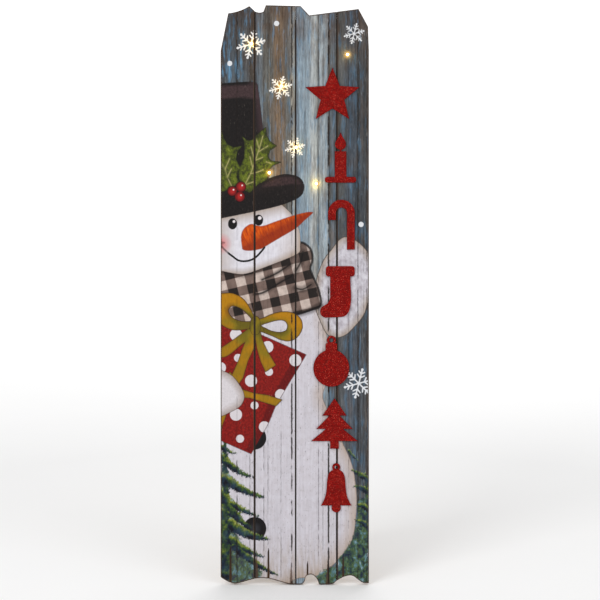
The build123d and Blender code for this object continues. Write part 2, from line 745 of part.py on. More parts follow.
def make_staples():
    """The U-shaped staples that hold the wire to the backs of the planks."""
    width, leg = 2 * STAPLE_HALF_SPAN, STAPLE_LEG + STAPLE_RISE
    with BuildPart() as wire_staples:
        for corners in WIRE_RUNS[1:]:
            path = wire_path(corners)
            for share in STAPLE_SHARES:
                middle, along = path @ share, path % share
                foot = middle - BACK * (WIRE_DEPTH - BOARD_THICKNESS)
                with BuildSketch(Plane(origin=foot, x_dir=along.cross(BACK), z_dir=along)) as profile:
                    with Locations((0, (STAPLE_RISE - STAPLE_LEG) / 2)):
                        Rectangle(width, leg)
                    with Locations((0, (STAPLE_RISE - STAPLE_LEG) / 2 - STAPLE_GAUGE)):
                        Rectangle(width - 2 * STAPLE_GAUGE, leg, mode=Mode.SUBTRACT)
                extrude(profile.sketch, amount=STAPLE_WIDTH / 2, both=True)
    wire_staples.part.label = "wire_staples"
    export_step(wire_staples.part, "parts/wire_staples.step")


# ---- Battery box -----------------------------------------------------------------------------------------

BOX_ACROSS = around(BOX_X, BOX_WIDTH)
BOX_UP = (BOX_FOOT, BOX_FOOT + BOX_LENGTH)
BAY_ACROSS = around(BOX_X, BOX_WIDTH - 2 * BOX_WALL)
BAY_UP = (BOX_FOOT + BOX_WALL, BOX_FOOT + BOX_WALL + BAY_LENGTH)
SWITCH_UP = (BAY_UP[1] + BOX_WALL, BOX_UP[1] - BOX_WALL)
GROOVE_ACROSS = around(BOX_X, BOX_WIDTH - 2 * BOX_WALL + 2 * GROOVE_DEPTH)
GROOVE_DEEP = (GROOVE_FRONT, GROOVE_FRONT + GROOVE_WIDTH)
PLATE_ACROSS = (GROOVE_ACROSS[0] + COVER_CLEARANCE, GROOVE_ACROSS[1] - COVER_CLEARANCE)
PLATE_DEEP = (GROOVE_DEEP[0] + COVER_CLEARANCE, GROOVE_DEEP[1] - COVER_CLEARANCE)


def make_battery_case():
    """The open case: a cell bay, a switch bay, grooves for the sliding cover and a hole for the wire."""
    with BuildPart() as battery_case:
        block(BOX_ACROSS, BOX_UP, (BOX_FRONT, BOX_BACK))
        corners = battery_case.edges().filter_by(DEPTH_AXIS)
        fillet(corners, radius=BOX_EASING)
        block(BAY_ACROSS, BAY_UP, (BOX_FLOOR, BOX_BACK), mode=Mode.SUBTRACT)
        block(BAY_ACROSS, SWITCH_UP, (BOX_FLOOR, BOX_BACK), mode=Mode.SUBTRACT)
        block(GROOVE_ACROSS, (BOX_FOOT - 1, SWITCH_UP[1]), GROOVE_DEEP, mode=Mode.SUBTRACT)
        block(BAY_ACROSS, (BOX_FOOT - 1, SWITCH_UP[1]), (GROOVE_FRONT, BOX_BACK), mode=Mode.SUBTRACT)
        for x in around(BOX_X, TIMER_BOARD[0] - 5):
            rod(1.5, x, SWITCH_HEIGHT, (BOX_FLOOR, BOARD_DEPTH))
        height, depth = WIRE_EXIT
        wall_middle = spot(BAY_ACROSS[1], height, depth)
        with BuildSketch(Plane(origin=wall_middle, z_dir=(1, 0, 0))) as wire_hole:
            Circle(WIRE_RADIUS + SLOT_CLEARANCE)
        extrude(wire_hole.sketch, amount=BOX_WALL, both=True, mode=Mode.SUBTRACT)
    battery_case.part.label = "battery_case"
    export_step(battery_case.part, "parts/battery_case.step")


def make_foam_pad():
    """The double-sided foam pad that sticks the case to the back of the plank."""
    inset = 2.0
    with BuildPart() as foam_pad:
        with BuildSketch(front_plane(BOARD_THICKNESS)):
            with Locations((BOX_X, BOX_FOOT + BOX_LENGTH / 2)):
                RectangleRounded(BOX_WIDTH - 2 * inset, BOX_LENGTH - 2 * inset, inset)
        extrude(amount=-PAD_THICKNESS)
    foam_pad.part.label = "foam_pad"
    export_step(foam_pad.part, "parts/foam_pad.step")


def make_battery_cover():
    """The cover that slides down out of its grooves, with ridges for the thumb."""
    ridge_length, ridge_width, ridge_height = RIDGE_SIZE
    with BuildPart() as battery_cover:
        block(PLATE_ACROSS, (BOX_FOOT, BAY_UP[1] + BOX_WALL / 2 - COVER_CLEARANCE), PLATE_DEEP)
        with BuildSketch(front_plane(PLATE_DEEP[1])):
            with Locations((BOX_X, BOX_FOOT + 12)):
                with GridLocations(1, RIDGE_PITCH, 1, RIDGE_COUNT):
                    Rectangle(ridge_length, ridge_width)
        extrude(amount=-ridge_height)
    battery_cover.part.label = "battery_cover"
    export_step(battery_cover.part, "parts/battery_cover.step")


def make_switch_panel():
    """The fixed panel over the switch bay, with a slot for the slider."""
    stem_across, stem_up = SLIDER_STEM
    slot_across = SLIDER_TRAVEL + stem_across + 2 * SLOT_CLEARANCE
    slot_up = stem_up + 2 * SLOT_CLEARANCE
    with BuildPart() as switch_panel:
        block(PLATE_ACROSS, (BAY_UP[1] + BOX_WALL / 2, SWITCH_UP[1] - COVER_CLEARANCE), PLATE_DEEP)
        block(around(BOX_X, slot_across), around(SWITCH_HEIGHT, slot_up), PLATE_DEEP, mode=Mode.SUBTRACT)
    switch_panel.part.label = "switch_panel"
    export_step(switch_panel.part, "parts/switch_panel.step")


def make_timer_board():
    """The timer board on its two posts, with its sealed chip underneath."""
    length, width, thickness = TIMER_BOARD
    with BuildPart() as timer_board:
        block(around(BOX_X, length), around(SWITCH_HEIGHT, width), (BOARD_DEPTH, BOARD_DEPTH + thickness))
        rod(3.0, BOX_X, SWITCH_HEIGHT, (BOARD_DEPTH - 1.4, BOARD_DEPTH))
    timer_board.part.label = "timer_board"
    export_step(timer_board.part, "parts/timer_board.step")


def make_switch():
    """The slide switch's metal can on the timer board, and its slider that comes out through the panel."""
    can_front = BOARD_DEPTH + TIMER_BOARD[2]
    can_back = can_front + SWITCH_CAN[2]
    slider_x = BOX_X + SLIDER_START
    stem_across, stem_up = SLIDER_STEM
    flange_across, flange_up, flange_thickness = SLIDER_FLANGE
    flange_back = PLATE_DEEP[0] - SLOT_CLEARANCE
    with BuildPart() as switch_can:
        block(around(BOX_X, SWITCH_CAN[0]), around(SWITCH_HEIGHT, SWITCH_CAN[1]), (can_front, can_back))
    switch_can.part.label = "switch_can"
    export_step(switch_can.part, "parts/switch_can.step")
    with BuildPart() as switch_slider:
        stem_deep = (can_back + SLOT_CLEARANCE, SLIDER_TOP)
        block(around(slider_x, stem_across), around(SWITCH_HEIGHT, stem_up), stem_deep)
        flange_deep = (flange_back - flange_thickness, flange_back)
        block(around(slider_x, flange_across), around(SWITCH_HEIGHT, flange_up), flange_deep)
    switch_slider.part.label = "switch_slider"
    export_step(switch_slider.part, "parts/switch_slider.step")


# Each cell stands on its spring: the left one nub up, the right one nub down
CELL_FOOT = BAY_UP[0] + CONTACT_THICKNESS + SPRING_LENGTH
CELL_TOP = BAY_UP[1] - CONTACT_THICKNESS
CELLS = (("left", BOX_X - CELL_SPREAD, True), ("right", BOX_X + CELL_SPREAD, False))


def cell_base(nub_up):
    """Height of a cell's flat end, which presses on its spring."""
    return CELL_TOP - CELL_NUB[1] - CELL_LENGTH if nub_up else BAY_UP[0] + CONTACT_THICKNESS + CELL_NUB[1]


def upright_plane(x, height):
    """Plane across the cells at this height, with its normal up the board."""
    return Plane(origin=spot(x, height, CELL_DEPTH), x_dir=(1, 0, 0), z_dir=UP)


def make_cells():
    """The two cells that light the bulbs."""
    nub_radius, nub_height = CELL_NUB
    for side, x, nub_up in CELLS:
        base = cell_base(nub_up)
        nub_start = base + CELL_LENGTH if nub_up else base - nub_height
        with BuildPart() as cell:
            with BuildSketch(upright_plane(x, base)):
                Circle(CELL_RADIUS)
            extrude(amount=CELL_LENGTH)
            fillet(cell.edges().filter_by(GeomType.CIRCLE), radius=0.6)
            with BuildSketch(upright_plane(x, nub_start)):
                Circle(nub_radius)
            extrude(amount=nub_height)
        cell.part.label = f"battery_{side}"
        export_step(cell.part, f"parts/battery_{side}.step")


def make_contacts():
    """Contact plates at both ends of the bay, and a coil spring under each cell's flat end."""
    plate_width, plate_depth = 11.0, 12.0
    with BuildPart() as contact_plates:
        for _, x, _ in CELLS:
            for low in (BAY_UP[0], CELL_TOP):
                deep = around(CELL_DEPTH, plate_depth)
                block(around(x, plate_width), (low, low + CONTACT_THICKNESS), deep)
    contact_plates.part.label = "contact_plates"
    export_step(contact_plates.part, "parts/contact_plates.step")
    with BuildPart() as contact_springs:
        for _, x, nub_up in CELLS:
            base = cell_base(nub_up)
            low = BAY_UP[0] + CONTACT_THICKNESS if nub_up else base + CELL_LENGTH
            high = base if nub_up else CELL_TOP
            height = high - low - 2 * SPRING_WIRE - 0.1
            turns = 3
            coil_foot = upright_plane(x, low + SPRING_WIRE + 0.05)
            with BuildLine(coil_foot) as coil:
                Helix(pitch=height / turns, height=height, radius=SPRING_RADIUS)
            with BuildSketch(Plane(origin=coil.line @ 0, z_dir=coil.line % 0)) as section:
                Circle(SPRING_WIRE)
            sweep(section.sketch, path=coil.line, is_frenet=True)
    contact_springs.part.label = "contact_springs"
    export_step(contact_springs.part, "parts/contact_springs.step")


# ---- Everything ------------------------------------------------------------------------------------------

os.makedirs("parts", exist_ok=True)
for plank_number in range(4):
    make_plank(plank_number)
    make_print(plank_number)
make_cutout("cutout_star", star_outline())
make_cutout("cutout_candle", candle_outline())
make_cutout("cutout_cane", cane_outline())
make_cutout("cutout_stocking", stocking_outline())
make_cutout("cutout_bauble", bauble_outline())
make_cutout("cutout_tree", tree_outline())
make_cutout("cutout_bell", bell_outline())
make_batten("top_batten", *TOP_BATTEN)
make_batten("hinge_batten", *HINGE_BATTEN)
make_batten("low_batten", *LOW_BATTEN)
make_batten_screws()
make_hanger()
batten_leaf_plane = front_plane(BATTEN_BACK + LEAF_THICKNESS, PIN_HEIGHT)
make_leaf("batten_leaf", batten_leaf_plane, knuckle_spans(0), batten_leaf_screw_places())
make_leaf("strut_leaf", strut_plane(PIN_STANDOFF), knuckle_spans(1), strut_leaf_screw_places())
make_leaf_screws("batten_leaf_screws", batten_leaf_screw_places())
make_leaf_screws("strut_leaf_screws", strut_leaf_screw_places())
make_hinge_pin()
make_strut()
for bulb_number, (bulb_x, bulb_height) in enumerate(LIGHTS, start=1):
    make_bulb(bulb_number, bulb_x, bulb_height)
make_holders()
make_wire()
make_staples()
make_battery_case()
make_foam_pad()
make_battery_cover()
make_switch_panel()
make_timer_board()
make_switch()
make_cells()
make_contacts()

for run in WIRE_RUNS:
    print("wire bend radii, mm:", [round(radius, 1) for radius in bend_radii(in_space(run))])
wire_length = sum(wire_path(run).length for run in WIRE_RUNS)
wire_volume = pi * WIRE_RADIUS**2 * wire_length
print("wire length, mm:", round(wire_length, 1), "volume by section:", round(wire_volume, 1))
print("hinge pin at", tuple(round(value, 3) for value in spot(0, PIN_HEIGHT, PIN_DEPTH)))
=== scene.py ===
"""Looks of the battery-lit wooden snowman porch sign: printed boards, glitter cut-outs, lights and hardware.

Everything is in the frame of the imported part. The board leans back, so most of this file works in board
coordinates in millimetres: x to the right, h up the board, d into the board from its front face.
"""

import json
import math

import bpy
import numpy as np
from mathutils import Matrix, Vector

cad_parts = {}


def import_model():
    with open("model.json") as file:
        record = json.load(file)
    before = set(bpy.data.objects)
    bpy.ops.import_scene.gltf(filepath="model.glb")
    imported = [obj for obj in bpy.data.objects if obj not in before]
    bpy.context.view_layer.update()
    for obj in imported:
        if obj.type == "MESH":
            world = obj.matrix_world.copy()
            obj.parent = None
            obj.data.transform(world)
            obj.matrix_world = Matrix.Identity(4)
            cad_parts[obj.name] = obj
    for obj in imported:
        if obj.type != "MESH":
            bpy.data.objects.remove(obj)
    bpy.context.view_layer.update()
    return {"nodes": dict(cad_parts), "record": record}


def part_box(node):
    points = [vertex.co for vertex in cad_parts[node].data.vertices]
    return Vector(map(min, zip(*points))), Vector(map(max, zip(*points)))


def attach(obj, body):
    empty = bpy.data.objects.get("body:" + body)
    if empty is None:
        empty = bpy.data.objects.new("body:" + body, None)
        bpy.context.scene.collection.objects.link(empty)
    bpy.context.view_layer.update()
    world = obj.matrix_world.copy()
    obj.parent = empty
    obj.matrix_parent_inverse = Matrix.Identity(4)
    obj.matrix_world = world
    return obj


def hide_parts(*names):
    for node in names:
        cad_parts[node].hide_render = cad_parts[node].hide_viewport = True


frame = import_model()
NODES = frame["nodes"]

LEAN = math.radians(7.5)
UP = np.array((0.0, math.sin(LEAN), math.cos(LEAN)))
BACK = np.array((0.0, math.cos(LEAN), -math.sin(LEAN)))
HANGER = next(m for m in frame["record"]["mounts"] if m["name"] == "hanger_bridge")
ORIGIN = np.array(HANGER["pos_m"]) - UP * 0.964 - BACK * 0.0226


def world(points):
    """Board millimetres (x, h, d) to metres in the shared frame."""
    p = np.asarray(points, float) / 1000.0
    across = p[..., 0:1] * np.array((1.0, 0.0, 0.0))
    return ORIGIN + across + p[..., 1:2] * UP + p[..., 2:3] * BACK


def board(points):
    """Metres in the shared frame to board millimetres (x, h, d)."""
    p = np.asarray(points, float) - ORIGIN
    return np.stack((p[..., 0], p @ UP, p @ BACK), -1) * 1000.0


# ---------------------------------------------------------------- outlines of the printed picture (x, h)
HAT_CROWN = (
    (-139.5, 863.5), (-127.5, 864.5), (-94.5, 867), (-74, 867.5), (-66, 865), (-62.5, 850.5), (-55, 788.5),
    (-48, 750.5), (-49.5, 695), (-139.5, 678),
)
HAT_BAND = (
    (-139.5, 857.5), (-94.5, 861.5), (-68.5, 861), (-64.5, 850.5), (-62.5, 838.5), (-94.5, 841),
    (-139.5, 838.5),
)
HAT_BRIM = (
    (-139.5, 683), (-101.5, 681.5), (-67, 688), (-43, 701), (-17, 707.5), (4, 704), (14, 694), (15, 680.5),
    (6.5, 668.5), (-24, 655.5), (-70, 644.5), (-126, 633), (-139.5, 630.5),
)
BRIM_GLOW = (
    (-56.5, 686.5), (-39.5, 697.5), (-17, 703.5), (2, 700.5), (10, 691.5), (-5, 691), (-32.5, 688),
)
FACE_EDGE = (
    (-139.5, 660.5), (-46.5, 660.5), (-25.5, 658), (-23, 655.5), (-3.5, 636.5), (6, 615.5), (9, 602),
    (9, 583), (6.5, 572.5), (-16.5, 561.5), (-41, 552), (-70, 541), (-89.5, 536), (-106.5, 537.5),
    (-126, 541.5), (-139.5, 545),
)
NOSE = (
    (-92.5, 599), (-91, 584.5), (-89, 578), (-77, 576.5), (-59, 579.5), (-50.5, 584), (-24.5, 599.5),
    (1.5, 615), (17.5, 629.5), (29.5, 640), (30, 642.5), (19.5, 642), (-4.5, 636), (-35, 625.5), (-53, 619),
    (-65, 619), (-75, 622), (-84.5, 617), (-90.5, 609),
)
MOUTH = (
    (-139.5, 598.5), (-126, 583), (-117, 574), (-107.5, 566.5), (-97.5, 559.5), (-85.5, 558), (-73.5, 561),
    (-65, 567), (-58.5, 574), (-52, 582),
)
SCARF = (
    (-139.5, 550), (-89.5, 545), (-43, 560.5), (2, 579.5), (10.5, 590.5), (23.5, 583.5), (29.5, 573.5),
    (30.5, 559), (27, 544.5), (34, 526), (41.5, 508), (44.5, 481.5), (24.5, 473), (5, 466.5),
    (-11.5, 465.5), (-43, 458.5), (-67, 448), (-139.5, 446.5),
)
BODY = (
    (-139.5, 508.5), (40, 508.5), (48.5, 482.5), (54, 434.5), (61, 413.5), (59.5, 388), (55.5, 362),
    (53, 343), (48.5, 322), (61, 293), (80, 250.5), (98.5, 208), (105.5, 170), (107, 137.5), (101.5, 84),
    (87.5, 58), (71, 38), (47.5, 18.5), (26, 11.5), (-1.5, 7.5), (-43, -26.5), (-139.5, -33.5),
)
ARM = (
    (35, 515.5), (47.5, 556), (63, 578), (77, 595.5), (90, 600.5), (107, 593), (125, 575.5), (140, 546.5),
    (138.5, 508.5), (126, 484.5), (118.5, 463.5), (96, 437), (83, 428), (67.5, 426), (54.5, 433),
    (43.5, 455), (35.5, 478),
)
MITTEN = (
    (-139.5, 374), (-126, 369), (-108.5, 360), (-93, 340), (-87.5, 325), (-90.5, 313.5), (-97.5, 305.5),
    (-113.5, 296.5), (-126, 291), (-139.5, 287.5),
)
GIFT = (
    (-139.5, 457), (-77.5, 439.5), (-61, 432), (19.5, 396.5), (-32.5, 310), (-44.5, 280.5), (-75.5, 225.5),
    (-126.5, 248), (-139.5, 253),
)
GIFT_SIDE = (
    (19.5, 396.5), (-32.5, 310), (-44.5, 280.5), (-75.5, 225.5), (-84.5, 232.5), (-56.5, 282.5),
    (-46.5, 312), (-1.5, 391), (5.5, 401.5),
)
LEFT_LOOP = (
    (-143, 498.5), (-126, 502), (-106.5, 502), (-88.5, 492), (-75.5, 472.5), (-68, 455), (-70.5, 445.5),
    (-84.5, 440.5), (-105, 439.5), (-119, 444), (-131, 451.5), (-143, 457),
)
LEFT_LOOP_HOLE = (
    (-115, 472.5), (-110, 480), (-102.5, 480.5), (-90.5, 475), (-81.5, 466.5), (-73, 455.5), (-82.5, 453.5),
    (-97, 455), (-109.5, 462),
)
RIGHT_LOOP = (
    (-68, 455), (-55, 459.5), (-40.5, 466), (-25.5, 470), (-9.5, 470), (4, 464.5), (11.5, 455),
    (12.5, 441.5), (4.5, 427.5), (-9, 420.5), (-24, 422.5), (-37.5, 428.5), (-56.5, 436), (-67, 439.5),
)
RIGHT_LOOP_HOLE = (
    (-58.5, 447), (-44.5, 452.5), (-28, 456.5), (-17.5, 455), (-12.5, 447.5), (-15, 438.5), (-25.5, 435),
    (-39.5, 437), (-49.5, 441.5),
)
TAIL_FAR_LEFT = (
    (-75.5, 444.5), (-84.5, 438), (-108.5, 420.5), (-131, 405), (-139.5, 394.5), (-126.5, 392),
    (-113.5, 396.5), (-93, 413.5), (-75.5, 427.5),
)
TAIL_LEFT = (
    (-77.5, 438), (-89.5, 408.5), (-98, 384.5), (-109.5, 358.5), (-96.5, 346.5), (-89.5, 356.5), (-81, 386),
    (-69.5, 410), (-65.5, 434.5),
)
TAIL_RIGHT = (
    (-69.5, 438), (-65.5, 408.5), (-58.5, 384.5), (-50.5, 367), (-33, 378.5), (-46.5, 401.5),
    (-56.5, 422.5), (-60, 439.5),
)
BAND = (
    (-112, 367), (-98, 348), (-89.5, 336), (-70.5, 330), (-46.5, 326.5), (-22, 318.5), (-32.5, 308),
    (-56.5, 315.5), (-77.5, 322), (-93, 323), (-101.5, 336), (-119, 356.5),
)
BAND_END = (
    (-139.5, 298), (-119, 303), (-119, 291), (-125.5, 274), (-127.5, 261.5), (-139.5, 260),
)
KNOT = (
    (-74, 458.5), (-67, 463), (-61, 457), (-60, 441.5), (-63.5, 432.5), (-72, 432), (-76.5, 439.5),
    (-76.5, 451.5),
)
LEFT_LEAF = (
    (-139.5, 798.5), (-126.5, 785), (-124, 773), (-116.5, 760), (-105.5, 754.5), (-90.5, 757.5), (-99, 747),
    (-101.5, 734), (-98, 727), (-92, 719), (-98, 713), (-100, 703.5), (-95.5, 693.5), (-108.5, 684.5),
    (-122, 678.5), (-139.5, 678),
)
MIDDLE_LEAF = (
    (-91, 686.5), (-96.5, 700.5), (-97.5, 711.5), (-93, 724.5), (-87.5, 736.5), (-86.5, 752), (-87.5, 765),
    (-92, 775), (-82.5, 766.5), (-74, 767), (-67, 774.5), (-57.5, 783), (-50, 789), (-48.5, 774.5),
    (-43, 765), (-31.5, 757), (-42.5, 750), (-47, 739), (-41, 731), (-24, 729), (-38.5, 723), (-44.5, 716),
    (-48, 698.5), (-63.5, 690.5), (-77.5, 676), (-86, 680),
)
LEFT_VEINS = (
    ((-108.5, 686.5), (-116.5, 703.5), (-120.5, 716.5), (-127.5, 729.5)),
    ((-120.5, 716.5), (-112.5, 735)),
    ((-116.5, 703.5), (-109.5, 717.5)),
    ((-121.5, 719.5), (-129, 728)),
)
MIDDLE_VEINS = (
    ((-86, 690.5), (-76.5, 709), (-69, 730), (-61.5, 752), (-55, 774.5)),
    ((-76.5, 709), (-65.5, 711.5), (-54, 716)),
    ((-72.5, 718.5), (-77.5, 738.5)),
    ((-69, 730), (-75.5, 755.5)),
    ((-68, 732), (-55, 737.5)),
    ((-63.5, 746.5), (-46.5, 757)),
    ((-61.5, 752), (-66, 767.5)),
    ((-84.5, 690.5), (-68.5, 696)),
    ((-41, 727), (-49.5, 729.5)),
)
SCARF_FOLDS = (
    ((-70.5, 501), (-58.5, 502.5), (-46.5, 508), (-29, 519), (-3, 533.5)),
    ((0.5, 511.5), (14, 509.5), (28, 517.5)),
    ((2, 541.5), (10.5, 557), (14, 574)),
    ((-56.5, 526), (-32.5, 536.5), (-8.5, 552)),
    ((2, 467), (23, 471.5), (43.5, 481)),
)
# discs below are (x, h, radius)
BERRIES = ((-108, 679, 8.1), (-93, 686.5, 8.5), (-95, 669.5, 8.5))
GIFT_DOTS = (
    (-101.5, 431, 10.4), (-47, 410, 10), (1, 387, 10.4), (-44.5, 367, 6.9), (-75.5, 351.5, 10.4),
    (-24.5, 327.5, 9.5), (-69.5, 309, 6.9), (-98, 391, 6.9), (-128.5, 374, 9.7), (-101.5, 293, 10.4),
    (-94.5, 251.5, 6.9), (-52.5, 272, 9.5),
)
SPOTS = ((-31.5, 968.5, 4.5), (-112.5, 899.5, 4.5), (114.5, 621.5, 4.5))
EYES = ((-107.5, 622.5, 7.9), (-62.5, 629, 7.9))
GLINTS = ((-105, 626.5, 2.4), (-60.5, 632.5, 3.1))
FLAKES = (
    (-75.5, 932.5, 25.6), (-24.5, 857.5, 20.4), (0.5, 754, 17.8), (102.5, 951, 18.3), (110.5, 347, 26.4),
)
BUTTONS = ((-69.5, 253, 20.4), (-69, 96.5, 19.9))
# fir boughs are (root, tip, sag, half width at the root)
LEFT_BRANCHES = (
    ((-121, 20), (-120, 250), 0, 15), ((-125, 219), (-72, 185), 6, 10), ((-122, 184), (-54, 151), 5, 12.5),
    ((-117, 143), (-64, 118), 2, 10), ((-126, 156), (-78, 98), 8, 14), ((-112, 105), (-47, 79), 6, 13),
    ((-112, 78), (-54, 48), 4, 11), ((-104, 67), (-30, 16), 5, 10), ((-124, 236), (-100, 226), 2, 7),
    ((-126, 128), (-92, 124), 4, 10),
)
RIGHT_BRANCHES = (
    ((94, 230), (112, 212), 2, 4), ((134, 176), (98, 197), -1, 9), ((134, 156), (103, 169), -2, 10),
    ((130, 98), (105, 111), -2, 8), ((134, 128), (108, 138), -1, 11), ((134, 40), (122, 190), 0, 9),
)
LEFT_MASS = (
    (-139, 168), (-119, 160), (-108, 128), (-98, 84), (-84, 62), (-69, 40), (-56, 19), (-72, 6), (-106, -4),
    (-139, -8),
)
RIGHT_MASS = (
    (139, 151), (126.5, 151), (109, 144), (108, 115.5), (102, 84), (86, 56), (73.5, 42), (72, 31),
    (59, 29.5), (40, 15.5), (43.5, -8), (139, -8),
)

JOINTS = (-69, 1.5, 72.5)
BULBS = ((-44, 710.5), (37, 691.5), (2.5, 754.5), (-23, 860), (-74.5, 933), (91, 914.5))
# carved cuts at the foot are (x, top, width)
FOOT_CUTS = ((-111, 66, 3.0), (-45.5, 62, 3.0), (22, 40, 2.4), (83.5, 48, 2.6))
PRINT_THICKNESS = 0.3
CUT_DEPTH = 1.35
BULB_HOLE = 2.37
EYE_SQUASH = 0.82
FLAKE_TILT = 15.5
FAR = 40.0


# ---------------------------------------------------------------- plane geometry
def curve(points, closed=True, steps=4):
    """A Catmull-Rom curve through the points."""
    p = np.array(points, float)
    n = len(p)
    if closed:
        before, after, far = np.roll(p, 1, 0), np.roll(p, -1, 0), np.roll(p, -2, 0)
    else:
        q = np.vstack((2 * p[0] - p[1], p, 2 * p[-1] - p[-2]))
        before, p, after, far = q[: n - 1], q[1:n], q[2 : n + 1], np.vstack((q[3:], q[-1:]))[: n - 1]
    t = (np.arange(steps) / steps)[None, :, None]
    a, b, c, d = (v[:, None, :] for v in (before, p, after, far))
    out = 0.5 * (2 * b + (c - a) * t + (2 * a - 5 * b + 4 * c - d) * t**2 + (3 * b - a - 3 * c + d) * t**3)
    out = out.reshape(-1, 2)
    return out if closed else np.vstack((out, np.array(points[-1], float)))


def to_segments(at, starts, ends):
    """Distance from each place to the nearest of the segments, and which segment that is."""
    best = np.full(len(at), FAR)
    which = np.zeros(len(at), int)
    low = np.minimum(starts.min(0), ends.min(0)) - FAR
    high = np.maximum(starts.max(0), ends.max(0)) + FAR
    near = np.nonzero(((at > low) & (at < high)).all(1))[0]
    p = at[near]
    d_best, w_best = best[near], which[near]
    for i, (s, e) in enumerate(zip(starts, ends)):
        run = e - s
        t = np.clip(((p - s) @ run) / max(run @ run, 1e-9), 0, 1)
        gap = np.hypot(*(p - s - t[:, None] * run).T)
        closer = gap < d_best
        d_best[closer] = gap[closer]
        w_best[closer] = i
    best[near], which[near] = d_best, w_best
    return best, which


def area(at, points, rounded=True):
    """Signed distance to a closed outline, negative inside."""
    ring = curve(points) if rounded else np.array(points, float)
    nxt = np.roll(ring, -1, 0)
    gap, _ = to_segments(at, ring, nxt)
    inside = np.zeros(len(at), bool)
    for (xa, ya), (xb, yb) in zip(ring, nxt):
        if ya != yb:
            cross = (at[:, 1] < ya) != (at[:, 1] < yb)
            inside ^= cross & (at[:, 0] < xa + (at[:, 1] - ya) * (xb - xa) / (yb - ya))
    return np.where(inside, -gap, gap)


def dots(at, circles):
    """Signed distance to the nearest of several discs."""
    out = np.full(len(at), FAR)
    for x, h, r in circles:
        out = np.minimum(out, np.hypot(at[:, 0] - x, at[:, 1] - h) - r)
    return out


def strokes(at, lines, half, bent=True):
    """Signed distance to brush lines of half width half."""
    runs = [curve(line, closed=False) if bent and len(line) > 2 else np.array(line, float) for line in lines]
    return to_segments(at, np.vstack([r[:-1] for r in runs]), np.vstack([r[1:] for r in runs]))[0] - half


def flakes(at):
    """Six-armed snowflakes: straight arms, two pairs of barbs on each arm and a round tip."""
    out = np.full(len(at), FAR)
    for x, h, radius in FLAKES:
        lines, tips = [], []
        for arm in range(6):
            turn = math.radians(60 * arm + FLAKE_TILT)
            way = np.array((math.cos(turn), math.sin(turn)))
            lines.append((np.array((x, h)), np.array((x, h)) + way * radius * 0.86))
            tips.append((*(np.array((x, h)) + way * radius * 0.93), radius * 0.085))
            for share, length in ((0.38, 0.3), (0.64, 0.24)):
                root = np.array((x, h)) + way * radius * share
                for side in (-52, 52):
                    barb = turn + math.radians(side)
                    lines.append((root, root + np.array((math.cos(barb), math.sin(barb))) * radius * length))
        out = np.minimum(out, strokes(at, lines, max(0.75, radius * 0.042), bent=False))
        out = np.minimum(out, dots(at, tips))
    return out


def boughs(at, branches):
    """Fir boughs: tapering strokes along sagging stems; the second value is the height over the stem."""
    best, lift = np.full(len(at), FAR), np.zeros(len(at))
    for root, tip, sag, width in branches:
        t = np.linspace(0, 1, 12)[:, None]
        spine = np.array(root) + (np.array(tip) - root) * t - np.array((0, sag * 4)) * t * (1 - t)
        near = np.nonzero((np.abs(at - spine.mean(0)) < np.ptp(spine, 0) / 2 + FAR).all(1))[0]
        p = at[near]
        for k in range(11):
            s, run = spine[k], spine[k + 1] - spine[k]
            along = np.clip(((p - s) @ run) / (run @ run), 0, 1)
            off = p - s - along[:, None] * run
            gap = np.hypot(*off.T) - width * (1.0 - 0.062 * (k + along))
            closer = gap < best[near]
            best[near[closer]] = gap[closer]
            lift[near[closer]] = off[closer, 1] / width
    return best, lift


